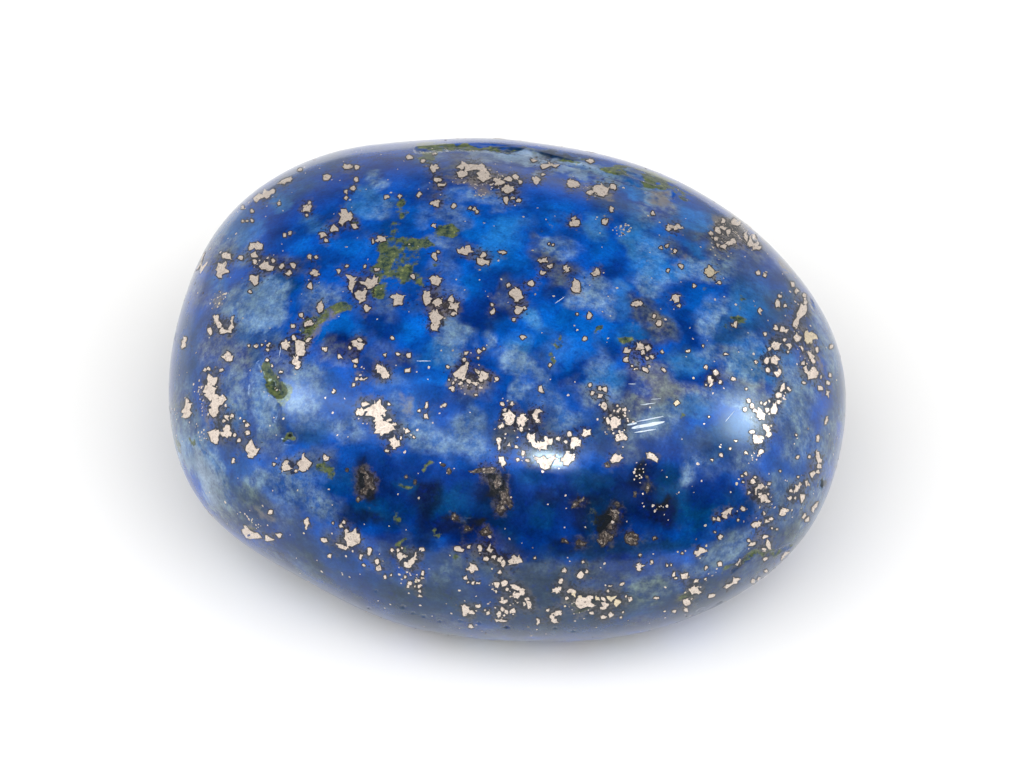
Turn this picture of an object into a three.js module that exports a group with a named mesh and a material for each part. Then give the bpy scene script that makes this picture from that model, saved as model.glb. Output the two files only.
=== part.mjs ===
// A tumbled and polished lapis lazuli stone: one rounded oval pebble that lies on a small worn flat.
//
// Millimetres, +Z up. The stone is longest along X, and its back is towards +Y. The origin is under the
// middle of the stone, on the surface that it lies on.

import * as THREE from 'three';
import { mergeVertices } from 'three/addons/utils/BufferGeometryUtils.js';

// ---- Driving dimensions -------------------------------------------------------------------------------

const LENGTH = 30.0; // end to end, along X, before the swells
const WIDTH = 25.0; // front to back, along Y, before the swells
const CROWN = 8.0; // from the stone's widest level up to its top
const BELLY = 8.45; // from the widest level down to where the bottom was before it wore flat
const FLAT_WEAR = 2.0; // how much of the belly has worn away, which leaves the flat that it lies on
const FLAT_EDGE = 0.7; // how far above and below the flat's level its edge is rounded

// How full the curves are: 2 is an ellipse, and more is squarer at the shoulders.
const OUTLINE_FULLNESS = 2.25; // seen from above
const CROWN_FULLNESS = 2.15; // seen from the side, above the widest level
const BELLY_FULLNESS = 2.1; // seen from the side, below it

const TAPER = -0.055; // how much narrower the +X end is than the middle, as a share of the width
const SKEW = -0.05; // how far the stone leans over sideways, in mm along X for each mm towards the back

// The soft swells and hollows that tumbling left. The place of each is two angles seen from the stone's
// middle, in degrees: round from the +X end towards the back, and up from the widest level. Its reach is
// in degrees too, along and across, and its height is in mm, less than zero for a hollow. Lean turns the
// long way of a patch up from level, in degrees.
const SWELLS = [
  { round: 33, up: 14, along: 9, across: 9, lean: 0, height: -0.1 }, // back right end, a little flat
  { round: 69, up: 26, along: 13, across: 13, lean: 0, height: 0.2 }, // back right shoulder
  { round: 124, up: 23, along: 11, across: 11, lean: 0, height: -0.3 }, // back left, a shallow hollow
  { round: 165, up: 16, along: 13, across: 13, lean: 0, height: 0.3 }, // left shoulder
  { round: -148, up: -11, along: 12, across: 12, lean: 0, height: 0.4 }, // front left corner, low down
  { round: -128, up: -19, along: 11, across: 11, lean: 0, height: -0.2 }, // front left, under the corner
  { round: -96, up: -25, along: 14, across: 14, lean: 0, height: 0.3 }, // front, under the widest level
  { round: -27, up: -14, along: 12, across: 12, lean: 0, height: -0.1 }, // front right end
  { round: 5, up: 0, along: 14, across: 14, lean: 0, height: -0.1 }, // the tip of the right end
  { round: 100, up: -22, along: 20, across: 14, lean: 10, height: 0.25 }, // low on the back
  { round: 35, up: -28, along: 14, across: 11, lean: -20, height: -0.2 }, // low on the back right
  { round: 86, up: 45, along: 24, across: 5.5, lean: -4, height: -0.3 }, // the long natural hollow
];

// Grid squares along each side of the cube that is rounded out into the stone.
const GRID = 24;

const POLISHED_LAPIS = new THREE.MeshStandardMaterial({ color: 0x2b5cab, roughness: 0.22, metalness: 0.0 });

// ---- The shape ----------------------------------------------------------------------------------------

// The length of (a, b) under a superellipse of the given fullness: 2 gives the everyday length.
function fullLength(a, b, fullness) {
  return (Math.abs(a) ** fullness + Math.abs(b) ** fullness) ** (1 / fullness);
}

// A unit vector from the two angles that place something on the stone.
function directionAt(round, up) {
  const roundAngle = THREE.MathUtils.degToRad(round);
  const upAngle = THREE.MathUtils.degToRad(up);
  return new THREE.Vector3(
    Math.cos(roundAngle) * Math.cos(upAngle),
    Math.sin(roundAngle) * Math.cos(upAngle),
    Math.sin(upAngle),
  );
}

// How far one swell lifts the skin in the given direction: its full height at its middle, fading out as
// a bell curve along and across.
function liftOf(swell, direction) {
  const middle = directionAt(swell.round, swell.up);
  if (direction.dot(middle) <= 0) return 0;
  const level = new THREE.Vector3(0, 0, 1).cross(middle).normalize();
  const upward = middle.clone().cross(level);
  const lean = THREE.MathUtils.degToRad(swell.lean);
  const east = direction.dot(level);
  const north = direction.dot(upward);
  const along = (east * Math.cos(lean) + north * Math.sin(lean)) / THREE.MathUtils.degToRad(swell.along);
  const across = (north * Math.cos(lean) - east * Math.sin(lean)) / THREE.MathUtils.degToRad(swell.across);
  return swell.height * Math.exp(-0.5 * (along * along + across * across));
}

// The level that a point of the belly ends up at, once the flat has been worn and its edge rounded.
function wornLevel(height) {
  const flat = FLAT_WEAR - BELLY;
  const above = height - flat;
  if (above >= FLAT_EDGE) return height;
  if (above <= -FLAT_EDGE) return flat;
  return flat + (above + FLAT_EDGE) ** 2 / (4 * FLAT_EDGE);
}

// The point of the stone's skin in the given direction from its middle.
function skinPoint(direction) {
  const crownSide = direction.z >= 0;
  const halfHeight = crownSide ? CROWN : BELLY;
  const sideFullness = crownSide ? CROWN_FULLNESS : BELLY_FULLNESS;
  const outline = fullLength(direction.x / (LENGTH / 2), direction.y / (WIDTH / 2), OUTLINE_FULLNESS);
  const reach = 1 / fullLength(outline, direction.z / halfHeight, sideFullness);
  const lift = SWELLS.reduce((sum, swell) => sum + liftOf(swell, direction), 0);
  const point = direction.clone().multiplyScalar(reach + lift);
  point.y *= 1 + TAPER * (point.x / (LENGTH / 2));
  point.x += SKEW * point.y;
  point.z = wornLevel(point.z);
  return point;
}

// A cube's grid, spread evenly over a ball, with every grid point then moved out to the stone's skin.
function stoneGeometry() {
  const box = new THREE.BoxGeometry(2, 2, 2, GRID, GRID, GRID);
  box.deleteAttribute('normal');
  box.deleteAttribute('uv');
  const geometry = mergeVertices(box);
  const places = geometry.attributes.position;
  const evenly = (value) => Math.tan((value * Math.PI) / 4);
  for (let i = 0; i < places.count; i += 1) {
    const direction = new THREE.Vector3(
      evenly(places.getX(i)),
      evenly(places.getY(i)),
      evenly(places.getZ(i)),
    ).normalize();
    const point = skinPoint(direction);
    places.setXYZ(i, point.x, point.y, point.z);
  }
  geometry.computeBoundingBox();
  const middle = geometry.boundingBox.getCenter(new THREE.Vector3());
  geometry.translate(-middle.x, -middle.y, -geometry.boundingBox.min.z);
  geometry.computeVertexNormals();
  return geometry;
}

// ---- The object ---------------------------------------------------------------------------------------

const stone = new THREE.Mesh(stoneGeometry(), POLISHED_LAPIS);
stone.name = 'lapis_stone';

const object = new THREE.Group();
object.add(stone);

export default object;
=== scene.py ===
# %% [markdown]
# # A tumbled and polished lapis lazuli stone
# Lapis lazuli is a rock, not a single mineral: blue lazurite, white calcite, a little green diopside
# and brassy pyrite, all grown into each other. Tumbling has worn this one to a smooth oval pebble and
# polish has made it shine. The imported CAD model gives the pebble's true shape and size. This lesson
# copies that shape, makes it finer, colours it mineral by mineral and lays the pyrite grains into it.

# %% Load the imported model
import math

import bmesh
import bpy
import numpy as np
from mathutils import Matrix, Vector, noise


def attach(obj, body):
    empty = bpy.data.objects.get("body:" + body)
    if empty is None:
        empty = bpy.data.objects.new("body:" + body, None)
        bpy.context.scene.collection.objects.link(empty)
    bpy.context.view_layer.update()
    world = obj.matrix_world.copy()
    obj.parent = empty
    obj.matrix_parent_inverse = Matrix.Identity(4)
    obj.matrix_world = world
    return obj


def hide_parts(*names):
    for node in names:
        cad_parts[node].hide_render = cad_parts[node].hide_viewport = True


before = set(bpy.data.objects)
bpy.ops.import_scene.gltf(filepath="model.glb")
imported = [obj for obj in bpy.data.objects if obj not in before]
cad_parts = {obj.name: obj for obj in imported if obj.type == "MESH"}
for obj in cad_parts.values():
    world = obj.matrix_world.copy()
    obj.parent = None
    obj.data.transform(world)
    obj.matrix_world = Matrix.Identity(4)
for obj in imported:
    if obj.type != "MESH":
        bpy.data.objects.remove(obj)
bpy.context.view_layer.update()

MM = 0.001  # Blender works in metres, and this stone is measured in millimetres
cad_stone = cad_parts["lapis_stone"]

# %% [markdown]
# ## The camera
# A long lens from a hand's length away keeps the outline of a small stone true, where a short one
# would swell its front. The camera looks down at 45 degrees, from a little to the right of the
# stone's front. It is set first, because the marks on the stone are placed by the column and row of
# the rendered frame in which they should appear. A tiny shift of the lens centres the stone.

# %% Camera
FRAME_COLUMNS, FRAME_ROWS = 1024, 768
EYE_ROUND = math.radians(15.4)
EYE_UP = math.radians(45.0)
EYE_DISTANCE = 220 * MM
STONE_MIDDLE = Vector((0, 0, 6.45 * MM))  # at the stone's widest level
DOTS_PER_MM = 22.786  # how large a millimetre looks at the stone's middle, in dots of the frame
MIDDLE_COLUMN, MIDDLE_ROW = 507.3, 382.9  # where the stone's middle appears
SENSOR_WIDTH = 36  # in mm, as a lens's length is
NEAREST_SEEN, FARTHEST_SEEN = 5 * MM, 20

to_eye = Vector((
    math.sin(EYE_ROUND) * math.cos(EYE_UP),
    -math.cos(EYE_ROUND) * math.cos(EYE_UP),
    math.sin(EYE_UP),
))
sheet_right = Vector((math.cos(EYE_ROUND), math.sin(EYE_ROUND), 0))
sheet_up = to_eye.cross(sheet_right)
eye = STONE_MIDDLE + to_eye * EYE_DISTANCE


def add_object(name, data):
    """An object made from its data and put into the scene."""
    made = bpy.data.objects.new(name, data)
    bpy.context.scene.collection.objects.link(made)
    return made


camera_data = bpy.data.cameras.new("camera")
camera_data.sensor_width = SENSOR_WIDTH
camera_data.lens = DOTS_PER_MM / MM * EYE_DISTANCE * SENSOR_WIDTH / FRAME_COLUMNS
camera_data.shift_x = (FRAME_COLUMNS / 2 - MIDDLE_COLUMN) / FRAME_COLUMNS
camera_data.shift_y = (MIDDLE_ROW - FRAME_ROWS / 2) / FRAME_COLUMNS
camera_data.clip_start, camera_data.clip_end = NEAREST_SEEN, FARTHEST_SEEN
camera = add_object("camera", camera_data)
camera.matrix_world = Matrix((
    (*sheet_right, 0), (*sheet_up, 0), (*to_eye, 0), (0, 0, 0, 1),
)).transposed()
camera.location = eye
bpy.context.scene.camera = camera
print("the lens is", round(camera_data.lens, 1), "mm long")

# %% [markdown]
# ## A finer skin
# The CAD mesh is a net of about 7,000 triangles, good for weighing and for collisions, but its flat
# facets would show as soon as light glides over the polish. The triangles are joined back into the
# squares that they came from, and a Subdivision Surface rounds these out twice over. Displacing or
# sculpting could round it too, but subdivision keeps the true size and needs no guesswork.

# %% Copy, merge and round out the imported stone
SKIN_LEVELS = 2
SAME_PLACE = 0.001 * MM  # corners of two triangles that are closer than this are one corner
FOLD_LIMIT, SQUARE_LIMIT = math.radians(40), math.radians(60)  # which triangles make a square

skin_net = bmesh.new()
skin_net.from_mesh(cad_stone.data)
bmesh.ops.remove_doubles(skin_net, verts=skin_net.verts, dist=SAME_PLACE)
bmesh.ops.join_triangles(
    skin_net, faces=skin_net.faces, angle_face_threshold=FOLD_LIMIT,
    angle_shape_threshold=SQUARE_LIMIT,
)
net_mesh = bpy.data.meshes.new("stone_net")
skin_net.to_mesh(net_mesh)
skin_net.free()
print("joined into", len(net_mesh.polygons), "faces")

stone = add_object("polished_stone", net_mesh)
rounder = stone.modifiers.new("rounder", "SUBSURF")
rounder.levels = rounder.render_levels = SKIN_LEVELS


def plain_mesh(piece):
    """Turns what a piece's modifiers make into its own plain mesh, and removes the modifiers."""
    bpy.context.view_layer.update()
    finished = piece.evaluated_get(bpy.context.evaluated_depsgraph_get())
    piece_mesh = bpy.data.meshes.new_from_object(finished)
    piece.modifiers.clear()
    piece.data = piece_mesh
    piece_mesh.name = piece.name
    return piece_mesh


skin = plain_mesh(stone)
print("the skin has", len(skin.polygons), "faces")

# %% [markdown]
# ## Where a mark falls on the stone
# Every mark is placed by a column and a row of the rendered frame. One helper finds the column and
# row at which any point appears. Another turns a column and row into a point on a flat sheet that
# stands through the stone's middle, square to the eye. Marks are drawn on that sheet, and then they
# are carried along the line of sight onto the stone.

# %% From the frame to the stone and back
eye_way = np.array(to_eye)


def frame_place(points):
    """The columns and rows at which points, an array in metres, appear in the frame."""
    away = points - np.array(STONE_MIDDLE)
    depth = EYE_DISTANCE - away @ eye_way
    scale = DOTS_PER_MM / MM * EYE_DISTANCE / depth
    columns = MIDDLE_COLUMN + scale * (away @ np.array(sheet_right))
    rows = MIDDLE_ROW - scale * (away @ np.array(sheet_up))
    return columns, rows


def sheet_place(column, row):
    """A column and row as mm right and up from the middle of the sheet."""
    return (column - MIDDLE_COLUMN) / DOTS_PER_MM, (MIDDLE_ROW - row) / DOTS_PER_MM


def turned_by(across, along, turn=0):
    """Distances from a mark's middle, measured along its own length and width."""
    cosine, sine = math.cos(math.radians(turn)), math.sin(math.radians(turn))
    return across * cosine + along * sine, along * cosine - across * sine


def coordinates(piece_mesh):
    """A mesh's vertices and their normals as two arrays."""
    arrays = []
    for rows, field in ((piece_mesh.vertices, "co"), (piece_mesh.vertex_normals, "vector")):
        values = np.zeros(len(rows) * 3)
        rows.foreach_get(field, values)
        arrays.append(values.reshape(-1, 3))
    return arrays


middle_seen = [round(float(value), 1) for value in frame_place(np.array(STONE_MIDDLE))]
print("the stone's middle appears at", middle_seen)

# %% [markdown]
# ## Waves left by the polish
# A tumbled stone is never quite even. Soft waves a few hundredths of a millimetre high make the edge
# of each reflection wander. They are real geometry, pushed along the normals by smooth noise.

# %% Waves in the skin
WAVES = ((5.0, 0.035), (2.2, 0.010), (0.9, 0.0022))  # how long and how high, in mm
WAVES_START, WAVES_RISE = 0.4, 1.2  # how far up, in mm: the flat underneath stays flat


def noise_values(points, size, offset=(0, 0, 0)):
    """Smooth noise between -1 and 1 at each point, with features about size mm across."""
    start = Vector(offset)
    return np.array([noise.noise(Vector(point) / (size * MM) + start) for point in points])


def rising(values, start, width):
    """0 up to a start, and from there evenly up to 1 over a width."""
    return np.clip((values - start) / width, 0, 1)


places, normals = coordinates(skin)
lift = np.zeros(len(places))
for wave_length, wave_height in WAVES:
    lift += wave_height * noise_values(places, wave_length, (wave_length, 3.7, 1.9))
lift *= rising(places[:, 2] / MM, WAVES_START, WAVES_RISE)
places += normals * (lift * MM)[:, None]
skin.vertices.foreach_set("co", places.ravel())
skin.update()
print("the waves reach", round(lift.min(), 3), "to", round(lift.max(), 3), "mm")

# %% [markdown]
# ## Pits, chips and cracks
# Softer minerals tear out while a stone tumbles, which leaves small pits, and cracks that were in the
# rough rock stay as fine grooves. A bump map could fake them, but then they'd be missing from the
# shape, so they are pressed into the mesh. The faces under them are first cut finer, only there, so
# that the rest of the skin stays light.

# %% Where the skin is hollowed
# column, row, half length, half width and depth in mm, and a turn in degrees where there is one
PITS = (
    (270, 380, .8, .4, .17, -52), (279, 391, .34, .3, .12), (261, 369, .22, .38, .08, 10),
    (289, 438, .36, .28, .15), (277, 413, .14, .4, .05, -10), (250, 390, .04, .3, .03),
    (820.9, 484.5, .09, .27, .1), (756, 236, .14, .2, .06, -30), (812, 304, .09, .3, .05, 20),
    (701, 611, .24, .12, .07, 25), (403, 607, .12, .1, .05), (460, 621, .12, .08, .05),
    (507, 627, .14, .07, .06), (479, 623, .09, .07, .04), (424, 616, .09, .07, .04),
    (440, 621, .08, .06, .04), (369, 608, .08, .06, .04), (376, 591, .08, .07, .04),
    (413, 613, .08, .06, .04), (573, 631, .09, .06, .04), (555, 628, .08, .06, .04),
    (176, 337, .08, .14, .04), (440, 229, .55, .2, .04, 18), (468, 520, .45, .12, .04),
    (745, 560, .3, .12, .06, 20), (640, 178, .9, .1, .05, -22), (490, 146, 1.1, .1, .06, -3),
)
# half width and depth in mm, then the columns and rows that the crack runs through
CRACKS = (
    (.16, .1, (418, 150), (460, 147), (505, 149), (535, 154), (562, 161),
     (600, 172), (640, 185), (672, 196)),
    (.06, .05, (196, 436), (201, 448), (210, 456), (221, 471), (225, 483)),
    (.09, .07, (790, 546), (773, 554), (755, 552), (743, 561), (733, 571)),
    (.03, .03, (281, 352), (282, 362), (281, 373)),
    (.05, .04, (657, 632), (680, 624), (702, 613), (721, 602)),
)
PIT_FULLNESS = 0.8  # under 1, a pit's floor is flatter and its edge steeper


def relief(columns, rows, reach=1.0):
    """How deep each place is hollowed, in mm. A larger reach takes in the ground round it."""
    right, up = sheet_place(columns, rows)
    depth = np.zeros(len(columns))
    for column, row, half_length, half_width, deep, *turn in PITS:
        pit_right, pit_up = sheet_place(column, row)
        u, v = turned_by(right - pit_right, up - pit_up, *turn)
        u, v = u / (half_length * reach), v / (half_width * reach)
        depth = np.maximum(depth, deep * np.clip(1 - u * u - v * v, 0, 1) ** PIT_FULLNESS)
    for half_width, deep, *course in CRACKS:
        for start, end in zip(course, course[1:]):
            first, last = np.array(sheet_place(*start)), np.array(sheet_place(*end))
            step = last - first
            share = ((right - first[0]) * step[0] + (up - first[1]) * step[1]) / (step @ step)
            share = np.clip(share, 0, 1)
            gap = np.hypot(right - first[0] - share * step[0], up - first[1] - share * step[1])
            groove = np.clip(1 - (gap / (half_width * reach)) ** 2, 0, 1)
            depth = np.maximum(depth, deep * groove)
    return depth


print(len(PITS), "pits and", len(CRACKS), "cracks")

# %% Cut the skin finer there, and press the hollows in
FINER_CUTS = 3  # how many times an edge is cut where the skin is hollowed
# faces within about one face's width of a small hollow are cut too, so none slips through the net
CUT_REACH = 2.2
FACES_THE_EYE = 0.05  # how far a face must turn to the eye to be cut
RIM_FADE = 0.15  # hollows fade out where the skin turns away from the eye
ROUGH_SIZE, ROUGH_SHARE = 0.22, 0.35  # the noise in the hollows: mm across, and how strong

net = bmesh.new()
net.from_mesh(skin)
net.faces.ensure_lookup_table()
centres = np.array([face.calc_center_median() for face in net.faces])
turned_to_eye = np.array([face.normal.dot(to_eye) for face in net.faces]) > FACES_THE_EYE
columns, rows = frame_place(centres)
near = (relief(columns, rows, reach=CUT_REACH) > 0) & turned_to_eye
edges = {edge for face, chosen in zip(net.faces, near) if chosen for edge in face.edges}
bmesh.ops.subdivide_edges(net, edges=list(edges), cuts=FINER_CUTS, use_grid_fill=True)
net.to_mesh(skin)
net.free()

places, normals = coordinates(skin)
depth = relief(*frame_place(places)) * rising(normals @ eye_way, 0, RIM_FADE)
depth *= 1 + ROUGH_SHARE * noise_values(places, ROUGH_SIZE)
skin.vertices.foreach_set("co", (places - normals * (depth * MM)[:, None]).ravel())
skin.update()
print("the deepest pit is", round(float(depth.max()), 2), "mm;", len(skin.polygons), "faces now")

# %% [markdown]
# ## Clouds of colour
# The blue of lapis is never even. Bright azure, indigo and near-black navy lie side by side, with pale
# calcite clouds and slate-grey stretches between them. A painter would lay that down stroke by stroke,
# and so does this step: each stroke is a soft ellipse of one tone, and later strokes cover earlier
# ones. Some strokes paint light as well as rock: painted shade in the dark band and low on the front,
# and paler paint along the rims and under the highlights as painted reflections and highlights. The
# result is stored on the vertices as a colour attribute. Noise bends every stroke first, so that no
# edge stays regular.

# %% The tones
TONES = {
    "azure": (0, .057, .33), "bright": (0, .1, .44), "sky": (.012, .145, .44),
    "light": (.042, .17, .39), "lilac": (.066, .128, .31), "pale": (.125, .22, .38),
    "mist": (.1, .162, .265), "violet": (.012, .058, .16), "indigo": (0, .03, .205),
    "navy": (0, .014, .12), "deep": (0, .006, .06), "teal": (0, .02, .065), "sea": (0, .038, .135),
    "dusk": (.044, .06, .122), "steel": (.046, .078, .15), "slate": (.056, .074, .108),
    "grey": (.125, .142, .175), "stone": (.138, .134, .136), "moss": (.088, .118, .094),
    "umber": (.04, .035, .038), "shade": (.008, .02, .04), "milk": (.25, .33, .45),
    "ink": (.003, .005, .012),
}
print(len(TONES), "tones")

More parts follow.
